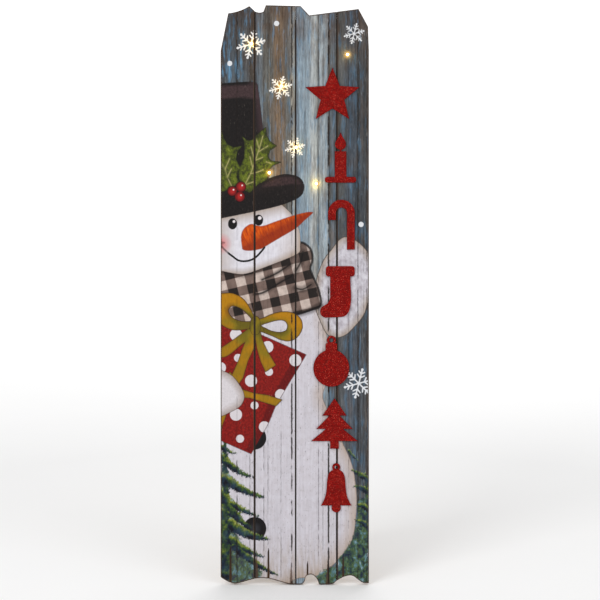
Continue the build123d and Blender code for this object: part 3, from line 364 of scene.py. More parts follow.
def paint_layers(at, rim):
    """Each layer of the picture as signed distances in millimetres, three to a named attribute."""
    fir, lift = boughs(at, LEFT_BRANCHES + RIGHT_BRANCHES)
    mass = np.minimum(area(at, LEFT_MASS), area(at, RIGHT_MASS))
    loops = np.maximum(area(at, LEFT_LOOP), -area(at, LEFT_LOOP_HOLE))
    loops = np.minimum(loops, np.maximum(area(at, RIGHT_LOOP), -area(at, RIGHT_LOOP_HOLE)))
    holes = np.minimum(area(at, LEFT_LOOP_HOLE), area(at, RIGHT_LOOP_HOLE))
    tails = area(at, TAIL_FAR_LEFT)
    for part in (TAIL_LEFT, TAIL_RIGHT, BAND, BAND_END):
        tails = np.minimum(tails, area(at, part, False))
    left_eye, right_eye = (np.hypot(at[:, 0] - x, (at[:, 1] - h) * EYE_SQUASH) - r for x, h, r in EYES)
    glints = np.minimum(dots(at, GLINTS), dots(at, [(x + 2.2, h + 2.4, 1.5) for x, h, r in BERRIES]))
    mouth = strokes(at, [MOUTH, ((-130, 591), (-121.5, 590))], 1.7)
    cuts = np.full(len(at), FAR)
    for x, top, width in FOOT_CUTS:
        reach = np.clip((top - at[:, 1]) / 8.0, 0.25, 1.0) * width / 2
        gap = np.where(at[:, 1] > top, np.hypot(at[:, 0] - x, at[:, 1] - top), np.abs(at[:, 0] - x) - reach)
        cuts = np.minimum(cuts, gap)
    return {
        "hat": (area(at, HAT_CROWN), area(at, HAT_BRIM), area(at, HAT_BAND)),
        "skin": (area(at, FACE_EDGE), area(at, NOSE), np.minimum(np.minimum(left_eye, right_eye), mouth)),
        "knit": (area(at, SCARF), strokes(at, SCARF_FOLDS, 1.5), area(at, ARM)),
        "snow": (area(at, BODY), area(at, MITTEN), dots(at, BUTTONS)),
        "box": (area(at, GIFT, False), area(at, GIFT_SIDE, False), dots(at, GIFT_DOTS)),
        "bow": (loops, tails, area(at, KNOT)),
        "leaf": (
            area(at, LEFT_LEAF, False),
            area(at, MIDDLE_LEAF, False),
            strokes(at, LEFT_VEINS + MIDDLE_VEINS, 0.75),
        ),
        "spark": (dots(at, BERRIES), glints, area(at, BRIM_GLOW)),
        "frost": (flakes(at), dots(at, SPOTS), rim),
        "fir": (fir, lift, cuts),
        "wood": (mass, holes, dots(at, [(x, h, 0) for x, h in BULBS])),
    }


# ---------------------------------------------------------------- meshes
def linked(name, data):
    """A new object in the scene that shows data."""
    obj = bpy.data.objects.new(name, data)
    bpy.context.scene.collection.objects.link(obj)
    return obj


def between_rings(rings, turns, first=0):
    """Faces from each ring of turns points to the next, for rings that follow each other from point first."""
    faces = []
    for row in range(rings - 1):
        for k in range(turns):
            a, b = first + row * turns + k, first + row * turns + (k + 1) % turns
            faces.append((a, b, b + turns, a + turns))
    return faces


def surface(name, points, faces, smooth=False):
    """A mesh object at the origin from board millimetres and a list of faces."""
    me = bpy.data.meshes.new(name)
    me.from_pydata(world(points).tolist(), [], faces)
    me.update()
    me.polygons.foreach_set("use_smooth", [smooth] * len(me.polygons))
    return linked(name, me)


def front_edges(node):
    """Boundary segments (x, h) of the CAD print's front face."""
    me = node.data
    place = np.empty(len(me.vertices) * 3)
    me.vertices.foreach_get("co", place)
    place = board(place.reshape(-1, 3))
    seen = {}
    for face in me.polygons:
        ids = list(face.vertices)
        if place[ids, 2].max() < place[:, 2].min() + 0.05:
            for a, b in zip(ids, ids[1:] + ids[:1]):
                key = tuple(sorted((tuple(place[a, :2].round(3)), tuple(place[b, :2].round(3)))))
                seen[key] = seen.get(key, 0) + 1
    return np.array([k for k, n in seen.items() if n == 1]), place


def panel(node, cell=1.25):
    """One printed board face: a mapped grid between the foot and top curves, its columns upright and its rows
    following both curves; it dips as a V into each foot cut, is open round each bulb and closed behind."""
    segments, place = front_edges(node)
    x0, x1 = place[:, 0].min(), place[:, 0].max()
    columns = np.linspace(x0, x1, int(round((x1 - x0) / cell)) + 1)
    cuts = [c for c in FOOT_CUTS if x0 < c[0] < x1]
    for x, _, width in cuts:
        marks = np.array((x - width / 2, x, x + width / 2))
        columns = np.array([c for c in columns if np.abs(c - marks).min() > 0.35] + list(marks))
        columns.sort()
    low, high = np.full(len(columns), np.nan), np.full(len(columns), np.nan)
    for i, x in enumerate(np.clip(columns, x0 + 0.02, x1 - 0.02)):
        a, b = segments[:, 0], segments[:, 1]
        hit = (a[:, 0] <= x) != (b[:, 0] <= x)
        a, b = a[hit], b[hit]
        crossing = a[:, 1] + (x - a[:, 0]) * (b[:, 1] - a[:, 1]) / (b[:, 0] - a[:, 0])
        high[i] = crossing.max()
        if all(abs(x - c[0]) > c[2] / 2 + 0.3 for c in cuts):
            low[i] = crossing.min()
    known = ~np.isnan(low)
    low = np.interp(columns, columns[known], low[known])
    rows = int(round(high.max() / (cell * 1.08)))
    t = np.linspace(0, 1, rows + 1)[:, None]
    h = low + (high - low) * t
    at = np.stack((np.broadcast_to(columns, h.shape), h), -1).reshape(-1, 2).copy()
    across, count = len(columns), len(at)
    for x, hh in BULBS:
        gap = np.hypot(at[:, 0] - x, at[:, 1] - hh)
        ring = np.abs(gap - BULB_HOLE) < 0.6
        at[ring] = (x, hh) + (at[ring] - (x, hh)) * (BULB_HOLE / gap[ring])[:, None]
    i, j = np.meshgrid(np.arange(rows), np.arange(across - 1), indexing="ij")
    a = (i * across + j).ravel()
    quads = np.stack((a, a + 1, a + across + 1, a + across), 1)
    for x, hh in BULBS:
        gap = np.hypot(at[:, 0] - x, at[:, 1] - hh)[quads]
        quads = quads[~(gap < BULB_HOLE + 0.02).all(1)]
    dip = np.zeros(count)
    for x, top, width in cuts:
        reach = np.clip((top - at[:, 1]) / 6.0, 0.0, 1.0) * width / 2
        slope = np.clip(1 - np.abs(at[:, 0] - x) / np.maximum(reach, 1e-3), 0, 1)
        dip = np.maximum(dip, CUT_DEPTH * slope * (at[:, 1] < top - 0.5))
    front = np.column_stack((at, dip - PRINT_THICKNESS))
    back = np.column_stack((at, dip))
    edges = np.concatenate([quads[:, [k, (k + 1) % 4]] for k in range(4)])
    ahead, behind = edges[:, 0] * count + edges[:, 1], edges[:, 1] * count + edges[:, 0]
    open_edges = edges[~np.isin(ahead, behind)]
    near, far = open_edges.T
    walls = np.stack((far, near, near + count, far + count), 1)
    faces = np.vstack((quads, quads[:, ::-1] + count, walls))
    used = np.zeros(2 * count, int)
    used[faces.ravel()] = 1
    renumber = np.cumsum(used) - 1
    keep = used.astype(bool)
    obj = surface("painted_" + node.name, np.vstack((front, back))[keep], renumber[faces].tolist())
    loop = segments
    if x0 > -120 and x1 < 120:
        loop = segments[np.all([(np.abs(segments[..., 0] - x) > 0.05).any(1) for x in (x0, x1)], 0)]
    tall = (loop[..., 1] > 80).any(1) | (loop[..., 1] < 30).any(1)
    rim, _ = to_segments(at, loop[tall, 0], loop[tall, 1])
    for key, parts in paint_layers(at, rim).items():
        values = np.stack(parts, -1)
        values = np.vstack((values, values))[keep]
        layer = obj.data.attributes.new(key, "FLOAT_VECTOR", "POINT")
        layer.data.foreach_set("vector", values.astype(np.float32).ravel())
    return obj


# ---------------------------------------------------------------- shader arithmetic
class S:
    """A shader socket that takes part in ordinary sums."""

    def __init__(self, net, socket):
        self.net, self.socket = net, socket

    def sum(self, operation, *others):
        return self.net.math(operation, self, *others)

    def __add__(self, other):
        return self.sum("ADD", other)

    def __sub__(self, other):
        return self.sum("SUBTRACT", other)

    def __rsub__(self, other):
        return self.net.math("SUBTRACT", other, self)

    def __mul__(self, other):
        return self.sum("MULTIPLY", other)

    def __truediv__(self, other):
        return self.sum("DIVIDE", other)

    def __neg__(self):
        return self * -1.0

    def __abs__(self):
        return self.sum("ABSOLUTE")

    __radd__, __rmul__ = __add__, __mul__

    def low(self, other):
        return self.sum("MINIMUM", other)

    def high(self, other):
        return self.sum("MAXIMUM", other)

    def band(self, a, b, c=0.0, d=1.0):
        """Runs from c at a to d at b, held beyond them."""
        return self.net.node("ShaderNodeMapRange", {0: self, 1: a, 2: b, 3: c, 4: d})

    def inside(self, soft=0.7):
        """One where a signed distance is negative, with a soft edge."""
        return self.band(soft / 2, -soft / 2)


class Net:
    """One material's nodes."""

    def __init__(self, name):
        self.material = bpy.data.materials.new(name)
        self.material.use_nodes = True
        self.tree = self.material.node_tree
        self.tree.nodes.clear()
        here = self.node("ShaderNodeTexCoord", out=3)
        off = self.vector("SUBTRACT", here, tuple(ORIGIN))
        self.x = self.node("ShaderNodeSeparateXYZ", {0: here}) * 1000.0
        self.h = self.vector("DOT_PRODUCT", off, tuple(UP), out=1) * 1000.0
        self.d = self.vector("DOT_PRODUCT", off, tuple(BACK), out=1) * 1000.0

    def node(self, kind, values=None, settings=None, out=0):
        made = self.tree.nodes.new(kind)
        for key, value in (settings or {}).items():
            setattr(made, key, value)
        for key, value in (values or {}).items():
            if isinstance(value, S):
                self.tree.links.new(value.socket, made.inputs[key])
            else:
                made.inputs[key].default_value = value
        return S(self, made.outputs[out])

    def math(self, operation, *terms):
        return self.node("ShaderNodeMath", dict(enumerate(terms)), {"operation": operation})

    def vector(self, operation, a, b, out=0):
        return self.node("ShaderNodeVectorMath", {0: a, 1: b}, {"operation": operation}, out)

    def mix(self, share, a, b, blend="MIX"):
        a, b = (v if isinstance(v, S) else (*v[:3], 1.0) for v in (a, b))
        settings = {"data_type": "RGBA", "blend_type": blend}
        return self.node("ShaderNodeMix", {0: share, 6: a, 7: b}, settings, 2)

    def tint(self, color, value):
        """A colour with its brightness multiplied by value."""
        grey = self.node("ShaderNodeCombineColor", {0: value, 1: value, 2: value})
        return self.mix(1.0, color, grey, "MULTIPLY")

    def reach(self, x, h):
        """Distance in millimetres from the place (x, h) on the board."""
        across, up = self.x - x, self.h - h
        return self.math("SQRT", across * across + up * up)

    def noise(self, sx, sh, sd=30.0, seed=0.0, detail=3.0, rough=0.55, warp=0.0):
        """Noise from 0 to 1 with the given grain sizes in millimetres."""
        at = self.node("ShaderNodeCombineXYZ", {0: self.x / sx + seed * 7.3, 1: self.h / sh + seed * 3.1,
                                                2: self.d / sd + seed})
        values = {"Vector": at, "Scale": 1.0, "Detail": detail, "Roughness": rough, "Distortion": warp}
        return self.node("ShaderNodeTexNoise", values)

    def cells(self, sx, sh, sd=30.0, out="Distance", feature="F1", seed=0.0):
        """Scattered cells of the given sizes in millimetres."""
        at = self.node("ShaderNodeCombineXYZ", {0: self.x / sx + seed, 1: self.h / sh, 2: self.d / sd})
        return self.node("ShaderNodeTexVoronoi", {"Vector": at, "Scale": 1.0}, {"feature": feature}, out)

    def ramp(self, value, stops):
        made = self.tree.nodes.new("ShaderNodeValToRGB")
        self.tree.links.new(value.socket, made.inputs[0])
        points = made.color_ramp.elements
        while len(points) < len(stops):
            points.new(0.5)
        for point, (place, color) in zip(points, stops):
            point.position = place
            point.color = (*color, 1.0)
        return S(self, made.outputs[0])

    def attribute(self, name):
        """The three distances kept under one attribute."""
        whole = self.node("ShaderNodeAttribute", settings={"attribute_name": name}, out=1)
        split = self.node("ShaderNodeSeparateXYZ", {0: whole}).socket.node
        return [S(self, socket) for socket in split.outputs]

    def done(self, color, rough=0.6, metal=0.0, bump=None, depth=0.3, **others):
        """The surface; bump is a height in units of depth millimetres."""
        values = {"Base Color": color if isinstance(color, S) else (*color, 1.0), "Roughness": rough}
        values["Metallic"] = metal
        if bump is not None:
            height = {"Height": bump, "Distance": depth / 1000.0, "Strength": 1.0}
            values["Normal"] = self.node("ShaderNodeBump", height)
        values.update({key.replace("_", " "): value for key, value in others.items()})
        shader = self.node("ShaderNodeBsdfPrincipled", values)
        made = self.tree.nodes.new("ShaderNodeOutputMaterial")
        self.tree.links.new(shader.socket, made.inputs[0])
        return self.material


def rgb(r, g, b):
    """Linear colour from display values out of 255."""
    display = (r / 255, g / 255, b / 255)
    return tuple(v / 12.92 if v <= 0.04045 else ((v + 0.055) / 1.055) ** 2.4 for v in display)


# colour stops across the boards are (x, display colour); cracks are (x, half width, strength)
BOARD_LEFT = (
    (-128, (88, 76, 66)), (-124, (74, 78, 82)), (-115, (96, 112, 124)), (-103, (100, 116, 128)),
    (-100, (66, 64, 62)), (-97, (104, 116, 124)), (-80, (94, 104, 112)), (-75, (74, 70, 64)),
    (-70, (86, 78, 70)), (-66, (88, 96, 104)), (-58, (118, 128, 136)), (-54, (102, 102, 100)),
    (-46, (96, 96, 92)), (-38, (108, 104, 98)), (-33, (122, 102, 82)), (-20, (118, 102, 86)),
    (-14, (106, 106, 104)), (-8, (112, 112, 110)), (-5, (176, 174, 166)), (0, (140, 140, 136)),
)
BOARD_RIGHT = (
    (2, (112, 124, 136)), (8, (138, 155, 168)), (24, (148, 163, 173)), (29, (178, 184, 186)),
    (36, (182, 187, 186)), (40, (124, 128, 128)), (45, (164, 174, 180)), (56, (150, 160, 166)),
    (60, (70, 66, 62)), (63, (98, 104, 108)), (67, (98, 108, 118)), (72, (80, 80, 78)),
    (76, (86, 88, 88)), (83, (98, 101, 103)), (93, (84, 92, 102)), (104, (80, 88, 97)),
    (110, (62, 64, 66)), (115, (84, 89, 95)), (122, (76, 79, 82)), (128, (94, 80, 68)),
)
CRACKS = (
    (-99.8, 1.0, 0.8), (-77.5, 0.7, 0.6), (-53.5, 0.8, 0.5), (-46.3, 0.6, 0.6), (-23.8, 0.6, 0.5),
    (-5.2, 1.5, 0.9), (41, 0.8, 0.55), (48.5, 0.5, 0.5), (58.3, 1.5, 0.95), (93, 0.6, 0.5),
    (109, 0.9, 0.8), (119, 0.5, 0.5), (124.5, 1.0, 0.7),
)


def weathered(net):
    """Painted driftwood boards: coloured strips, long streaks, hair grain, ragged cracks and rubbed spots."""
    wander = (net.noise(26, 150, seed=1.0) - 0.5) * 7.0 + (net.noise(4, 30, seed=2.0) - 0.5) * 2.4
    x = net.x + wander
    left = net.ramp((x + 128.0) / 128.0, [((p + 128) / 128, rgb(*c)) for p, c in BOARD_LEFT])
    right = net.ramp(x / 128.0, [(p / 128, rgb(*c)) for p, c in BOARD_RIGHT])
    color = net.mix(net.x.band(1.4, 1.6), left, right)
    streak = net.noise(3.2, 95, seed=3.0, detail=5.0, rough=0.62)
    broad = net.noise(15, 120, seed=4.0)
    hair = net.noise(0.8, 22, seed=5.0, detail=2.0)
    brown = net.noise(12, 75, seed=6.0, detail=4.0).band(0.52, 0.68)
    edge = net.h.band(880, 985) * net.noise(18, 30, seed=7.0, detail=4.0).band(0.3, 0.62)
    color = net.mix(brown * 0.42, color, rgb(112, 92, 74))
    color = net.mix(edge * 0.75, color, rgb(92, 72, 58))
    corner = net.x.band(-60, -84) * net.h.band(800, 900)
    color = net.mix(corner * 0.55, color, rgb(58, 54, 54))
    low = net.h.band(520, 380) * net.x.band(66, 74)
    color = net.mix(low * 0.12, color, rgb(130, 134, 144))
    blue = net.noise(7, 48, seed=9.0, detail=4.0, rough=0.6).band(0.52, 0.64)
    color = net.mix(blue * net.x.band(-69, -72, 0.38, 0.72), color, rgb(96, 142, 176))
    color = net.tint(color, streak.band(0.28, 0.72, 0.58, 1.42))
    color = net.tint(color, broad.band(0.3, 0.7, 0.82, 1.16) * net.x.band(72, 73, 1.0, 0.83))
    color = net.tint(color, net.noise(1.7, 13, seed=10.0, detail=4.0, rough=0.65).band(0.3, 0.7, 0.72, 1.24))
    color = net.tint(color, hair.band(0.3, 0.7, 0.78, 1.2))
    lines = net.noise(1.1, 80, seed=14.0, detail=2.0).band(0.57, 0.64)
    color = net.mix(lines * 0.42, color, rgb(46, 40, 38))
    chalk = net.noise(2.4, 26, seed=8.0, detail=5.0, rough=0.7).band(0.6, 0.7)
    color = net.mix(chalk * 0.35, color, rgb(176, 182, 186))
    return color, streak, hair


def crack_mask(net):
    """One in the ragged upright cracks and in short dark specks, else zero."""
    ragged = (net.noise(3.5, 9, seed=11.0, detail=4.0, rough=0.7) - 0.5) * 3.4
    breaks = net.noise(20, 34, seed=12.0, detail=3.0)
    total = None
    for x, half, strength in CRACKS:
        line = (abs(net.x - x + ragged) - half * 0.9).inside(0.8) * breaks.band(0.42, 0.5) * strength
        total = line if total is None else total.high(line)
    specks = net.noise(1.1, 11, seed=13.0, detail=3.0, rough=0.6).band(0.66, 0.71) * breaks.band(0.6, 0.48)
    return total.high(specks * 0.7)


def picture():
    """The printed snowman: each layer is laid over the last where its signed distance is negative."""
    net = Net("printed_face")
    wood, streak, hair = weathered(net)
    crown, brim, hat_band = net.attribute("hat")
    face, nose, ink = net.attribute("skin")
    scarf, folds, arm = net.attribute("knit")
    body, mitten, buttons = net.attribute("snow")
    gift, gift_side, gift_dots = net.attribute("box")
    loops, tails, knot = net.attribute("bow")
    left_leaf, right_leaf, veins = net.attribute("leaf")
    berries, glints, glow = net.attribute("spark")
    frost, spots, rim = net.attribute("frost")
    fir, tone, cuts = net.attribute("fir")
    blot = net.noise(9, 12, seed=20.0, detail=4.0, rough=0.6)
    dab = net.noise(3.2, 4.2, seed=21.0, detail=4.0, rough=0.65)
    shake = (net.noise(2.6, 3.2, seed=22.0, detail=3.0) - 0.5) * 1.6
    worn = net.noise(1.6, 14, seed=23.0, detail=4.0, rough=0.65)

    def lay(color, over, distance, share=1.0, soft=0.8, wobble=0.7):
        mask = (distance + shake * wobble).inside(soft)
        return net.mix(mask * share, color, over)

    # snow body: pale boards, warmer toward its outline and its foot, with dashes of bare wood
    snow = net.ramp(blot, [(0.25, rgb(206, 200, 206)), (0.5, rgb(216, 211, 219)), (0.75, rgb(223, 220, 228))])
    snow = net.mix(body.band(-24, 0) * (net.noise(5, 60, seed=26.0).band(0.3, 0.6, 0.6, 1.0)) * 0.8, snow,
                   rgb(184, 160, 138))
    soil = net.h.band(90, 5) * net.noise(5, 40, seed=27.0).band(0.35, 0.6)
    snow = net.mix(soil * 0.7, snow, rgb(176, 156, 136))
    snow = net.tint(snow, streak.band(0.25, 0.75, 0.86, 1.08))
    dashes = net.noise(1.3, 6, seed=24.0, detail=2.0, rough=0.6).band(0.66, 0.7)
    snow = net.mix(dashes * 0.8, snow, rgb(84, 74, 70))
    color = lay(wood, snow, body)
    color = lay(color, rgb(84, 76, 74), abs(body + 0.4) - 0.6, 0.55)

    # buttons, then fir boughs brushed over them: lime where they catch light, navy beneath
    color = lay(color, rgb(24, 22, 24), buttons)
    color = lay(color, rgb(84, 86, 94), buttons + 12.0, 0.3, soft=8.0)
    mass, holes, lit = net.attribute("wood")
    feather = (net.noise(2.6, 5.0, seed=28.0, detail=5.0, rough=0.72, warp=0.8) - 0.5) * 17.0
    hue = net.noise(11, 13, seed=29.0, detail=4.0, rough=0.62)
    sprig = net.ramp(tone * 0.52 + hue * 0.95 - 0.01, [(0.26, rgb(22, 24, 34)), (0.38, rgb(32, 44, 62)),
                     (0.46, rgb(48, 70, 54)), (0.54, rgb(74, 100, 50)), (0.62, rgb(118, 134, 54)),
                     (0.72, rgb(160, 166, 76)), (0.86, rgb(140, 172, 170))])
    cool = net.noise(17, 21, seed=33.0, detail=2.0).band(0.5, 0.62)
    sprig = net.mix(cool * 0.45, sprig, rgb(58, 84, 108))
    sprig = net.tint(sprig, dab.band(0.3, 0.7, 0.6, 1.28) * net.x.band(-128, -60, 0.74, 1.0))
    wash = net.ramp(net.noise(11, 14, seed=30.0, detail=5.0, rough=0.6, warp=0.6), [
        (0.3, rgb(24, 28, 46)), (0.4, rgb(40, 54, 70)), (0.47, rgb(58, 84, 66)), (0.53, rgb(86, 108, 66)),
        (0.58, rgb(84, 122, 128)), (0.64, rgb(112, 148, 158)), (0.7, rgb(196, 206, 212))])
    wash = net.tint(wash, dab.band(0.3, 0.7, 0.75, 1.25) * net.x.band(-128, -60, 0.76, 1.0))
    color = net.mix((mass + feather * 1.2).inside(2.4) * 0.95, color, wash)
    color = net.mix((fir + feather + 1.5).inside(1.6), color, sprig)
    for at_x, top, half in ((-66, 80, 4.2), (-6, 62, 3.0), (57, 70, 3.6)):
        reach = net.h.band(0, top, half, -1.5)
        wedge = (abs(net.x - at_x + shake * 1.5) - reach).inside(1.0)
        color = net.mix(wedge * 0.8, color, rgb(84, 60, 46))

    # arm with its pale sleeve
    sleeve = net.ramp(blot, [(0.32, rgb(176, 168, 176)), (0.55, rgb(212, 208, 216)),
                             (0.7, rgb(224, 222, 228))])
    sleeve = net.mix(arm.band(-15, -1) * 0.75, sleeve, rgb(168, 148, 126))
    sleeve = net.tint(sleeve, streak.band(0.25, 0.75, 0.86, 1.1))
    color = lay(color, sleeve, arm)
    color = lay(color, rgb(52, 46, 46), abs(arm + 0.3) - 0.7, 0.8)
    # plaid scarf: two sets of stripes across each other, the second set along rows that rise to the right
    bend = (net.noise(38, 30, seed=25.0) - 0.5) * 2.0
    along = (net.x + 41.0) * 0.972 + (net.h - 519.0) * 0.234 + bend
    down = (net.h - 519.0) * 0.972 - (net.x + 41.0) * 0.234 + bend
    one = net.math("PINGPONG", along, 16.6)
    two = net.math("PINGPONG", down, 16.1)
    dark_one, dark_two = (8.3 - one).band(-0.6, 0.6), (8.05 - two).band(-0.6, 0.6)
    cloth = net.ramp((dark_one + dark_two) * 0.5, [(0.0, rgb(208, 190, 180)), (0.5, rgb(122, 102, 94)),
                                                   (1.0, rgb(38, 32, 30))])
    threads = net.math("SINE", along * 4.2) * net.math("SINE", down * 4.2)
    cloth = net.tint(cloth, threads.band(-0.6, 0.6, 0.88, 1.1))
    cloth = net.tint(cloth, blot.band(0.3, 0.7, 0.78, 1.18))
    cloth = net.mix(scarf.band(-9, 0) * 0.5, cloth, rgb(60, 50, 46))
    cloth = net.mix(face.band(9, 0.5) * net.x.band(10, -60, 0.4, 0.85), cloth, rgb(36, 30, 28))
    color = lay(color, cloth, scarf)
    color = lay(color, rgb(40, 32, 30), folds - net.x.band(-60, 8, 1.4, 4.2), 0.55, soft=4.0)
    color = lay(color, rgb(24, 20, 20), folds, 0.85, soft=1.6)
    color = lay(color, rgb(24, 20, 20), abs(scarf) - net.x.band(-40, 8, 0.9, 1.9), 0.88)

    # gift box with dots
    red = net.ramp(dab, [(0.3, rgb(98, 16, 16)), (0.5, rgb(132, 24, 20)), (0.72, rgb(164, 36, 28))])
    red = net.mix(gift_side.inside(3.0) * 0.55, red, rgb(74, 14, 18))
    color = lay(color, rgb(46, 16, 18), gift - 0.9, 0.8)
    color = lay(color, red, gift)
    dot = gift_dots.high(gift)
    color = lay(color, rgb(226, 220, 224), dot, 0.97, wobble=0.6)

    # ribbon: gold, turning olive toward the knot and the inner edges, brown inside the left loop
    satin = (net.noise(26, 22, seed=31.0, detail=1.0, rough=0.4) - 0.5) * 0.8
    near = net.reach(-68.0, 447.0).band(46, 10)
    below = net.h.band(450, 438) * net.x.band(-72, -60) + net.h.band(470, 455) * net.x.band(-72, -84)
    turned = near * 0.7 + holes.band(9.0, 0.5) * 0.45 + below * 0.45 + satin
    gold = net.ramp(turned, [(0.1, rgb(184, 128, 16)), (0.4, rgb(164, 120, 18)), (0.7, rgb(134, 116, 26)),
                             (1.0, rgb(106, 94, 26))])
    hollow = holes.band(8.0, 1.0) * net.x.band(-103, -114) * 0.6
    gold = net.mix(hollow, gold, rgb(120, 62, 20))
    ribbon = loops.low(tails).low(knot)
    gold = net.mix(ribbon.band(-2.6, -0.4) * 0.45, gold, rgb(104, 74, 24))
    gold = net.tint(gold, net.noise(2.4, 9, seed=32.0, detail=3.0).band(0.3, 0.7, 0.9, 1.08))
    color = lay(color, rgb(48, 32, 22), ribbon - 0.9, 0.85)
    color = lay(color, gold, tails)
    color = lay(color, rgb(52, 36, 20), abs(loops) - 0.8, 0.8)
    color = lay(color, gold, loops)
    color = lay(color, rgb(52, 36, 20), abs(knot) - 0.8, 0.8)
    color = lay(color, gold, knot)

    # mitten
    wool = net.mix(mitten.band(-14, 0) * 0.7, rgb(224, 218, 222), rgb(150, 128, 112))
    wool = net.tint(wool, dab.band(0.3, 0.7, 0.88, 1.08))
    color = lay(color, rgb(54, 40, 38), mitten - 0.9, 0.8)
    color = lay(color, wool, mitten)

    # face: cool white, tan under the brim and round the cheek
    skin = net.ramp(blot, [(0.3, rgb(218, 214, 222)), (0.52, rgb(230, 227, 235)), (0.72, rgb(238, 236, 243))])
    shade = face.band(-12, -1) * 0.75
    shade = shade.high(net.x.band(-100, -127) * 0.6).high(brim.band(20, 2) * 0.8)
    skin = net.mix(shade * blot.band(0.2, 0.5, 0.55, 1.0), skin, rgb(170, 150, 132))
    cheek = net.reach(-128.0, 588.0).band(20, 5)
    skin = net.mix(net.h.band(640, 560) * net.x.band(-34, -2) * 0.6, skin, rgb(176, 152, 130))
    skin = net.mix(cheek * 0.8, skin, rgb(222, 120, 122))
    skin = net.tint(skin, streak.band(0.25, 0.75, 0.92, 1.06))
    color = lay(color, rgb(92, 78, 76), face - 0.8, 0.5)
    color = lay(color, skin, face)

    # hat
    felt = net.ramp(dab, [(0.3, rgb(20, 18, 19)), (0.55, rgb(30, 26, 26)), (0.8, rgb(46, 39, 40))])
    felt = net.mix(hat_band.inside(5.0) * dab.band(0.3, 0.6, 0.4, 0.9), felt, rgb(74, 56, 58))
    sheen = net.mix(crown.band(-13, -3) * net.x.band(-84, -70) * 0.6, felt, rgb(74, 56, 60))
    felt = net.mix(brim.band(-26, -8) * net.h.band(668, 684) * 0.2, felt, rgb(60, 46, 48))
    felt = net.mix(glow.inside(3.5) * dab.band(0.3, 0.6, 0.2, 0.8), felt, rgb(70, 52, 54))
    color = lay(color, rgb(24, 22, 24), crown.low(brim) - 0.8, 0.6)
    color = lay(color, sheen, crown)
    color = lay(color, rgb(16, 15, 18), abs(brim) - 1.0, 0.8)
    color = lay(color, felt, brim)

    # holly and berries
    leaf = net.ramp(blot * 0.6 + dab * 0.4, [(0.34, rgb(40, 42, 26)), (0.45, rgb(64, 70, 30)),
                                             (0.54, rgb(92, 104, 30)), (0.66, rgb(122, 132, 48))])
    both = left_leaf.low(right_leaf)
    leaf = net.mix(both.band(-3.5, 0) * 0.7, leaf, rgb(40, 44, 26))
    leaf = net.mix(abs(veins + 1.2).band(3.6, 0.4) * 0.4, leaf, rgb(146, 146, 92))
    leaf = net.mix((veins + shake * 0.4).inside(0.8) * 0.85, leaf, rgb(172, 164, 104))
    color = lay(color, rgb(22, 24, 16), both - 0.9, 0.75)
    color = lay(color, leaf, both, wobble=0.5)
    color = lay(color, rgb(30, 10, 14), berries - 1.0, 0.9)
    berry = net.mix(berries.band(-6, 0), rgb(176, 38, 38), rgb(88, 16, 20))
    color = lay(color, berry, berries)

    # carrot nose with brushed pleats, red-brown beneath, then eyes and mouth
    slant = net.node("ShaderNodeCombineXYZ", {0: (net.x * 0.94 + net.h * 0.34) / 4.2,
                                              1: (net.h * 0.94 - net.x * 0.34) / 24.0, 2: 3.0})
    pleat = net.node("ShaderNodeTexNoise", {"Vector": slant, "Scale": 1.0, "Detail": 3.0, "Roughness": 0.6})
    under = (net.h - 578.0 - (net.x + 91.0) * 0.53 + (blot - 0.5) * 14.0).band(15, 1)
    carrot = net.tint(rgb(214, 84, 14), dab.band(0.3, 0.7, 0.86, 1.12))
    carrot = net.mix(pleat.band(0.46, 0.34) * 0.7, carrot, rgb(236, 116, 26))
    carrot = net.mix(pleat.band(0.52, 0.64) * 0.75, carrot, rgb(152, 46, 16))
    carrot = net.mix(under.high(nose.band(-5, 0) * 0.5) * 0.8, carrot, rgb(138, 40, 18))
    color = lay(color, rgb(120, 52, 34), nose - 0.7, 0.7)
    color = lay(color, carrot, nose, wobble=0.5)
    color = lay(color, rgb(24, 22, 24), ink, wobble=0.5)
    color = lay(color, rgb(236, 228, 230), glints, wobble=0.2)

    # flaking paint and cracks run through everything, then snowflakes and dots
    crack = crack_mask(net)
    painted = face.low(crown).low(brim).low(scarf).low(gift).inside(1.0)
    color = net.mix(crack * (1.0 - painted * 0.72), color, rgb(40, 32, 28))
    color = net.mix(worn.band(0.64, 0.7) * 0.3, color, rgb(150, 138, 128))
    color = lay(color, rgb(238, 240, 244), frost, 0.95, wobble=0.25)
    color = lay(color, rgb(232, 234, 238), spots, 0.95)

    # bare brown edge and the carved cuts at the foot
    raw = net.mix(dab, rgb(96, 70, 50), rgb(62, 44, 32))
    color = net.mix((rim - 0.9 + shake * 0.6).inside(0.9) * 0.9, color, raw)
    color = net.mix((cuts + 0.1).inside(0.8), color, rgb(58, 40, 30))
    color = net.mix(net.d.band(-0.22, -0.12), color, raw)
    color = net.tint(color, 0.82)
    relief = crack * -1.0 + hair * 0.25 + streak * 0.3
    rough = (0.54 + hair * 0.16) + crack * 0.2
    # painted light: the print glows warm within about nine and a half millimetres of each bulb, a painted pool
    # of the bulbs' light
    painted_bulb_glow = lit.band(9.5, 2.2)
    painted_bulb_glow = net.mix(painted_bulb_glow * painted_bulb_glow * 0.75, rgb(0, 0, 0), rgb(255, 190, 84))
    return net.done(color, rough, bump=relief, depth=0.22, Specular_IOR_Level=0.14, Emission_Color=painted_bulb_glow,
                    Emission_Strength=1.0)


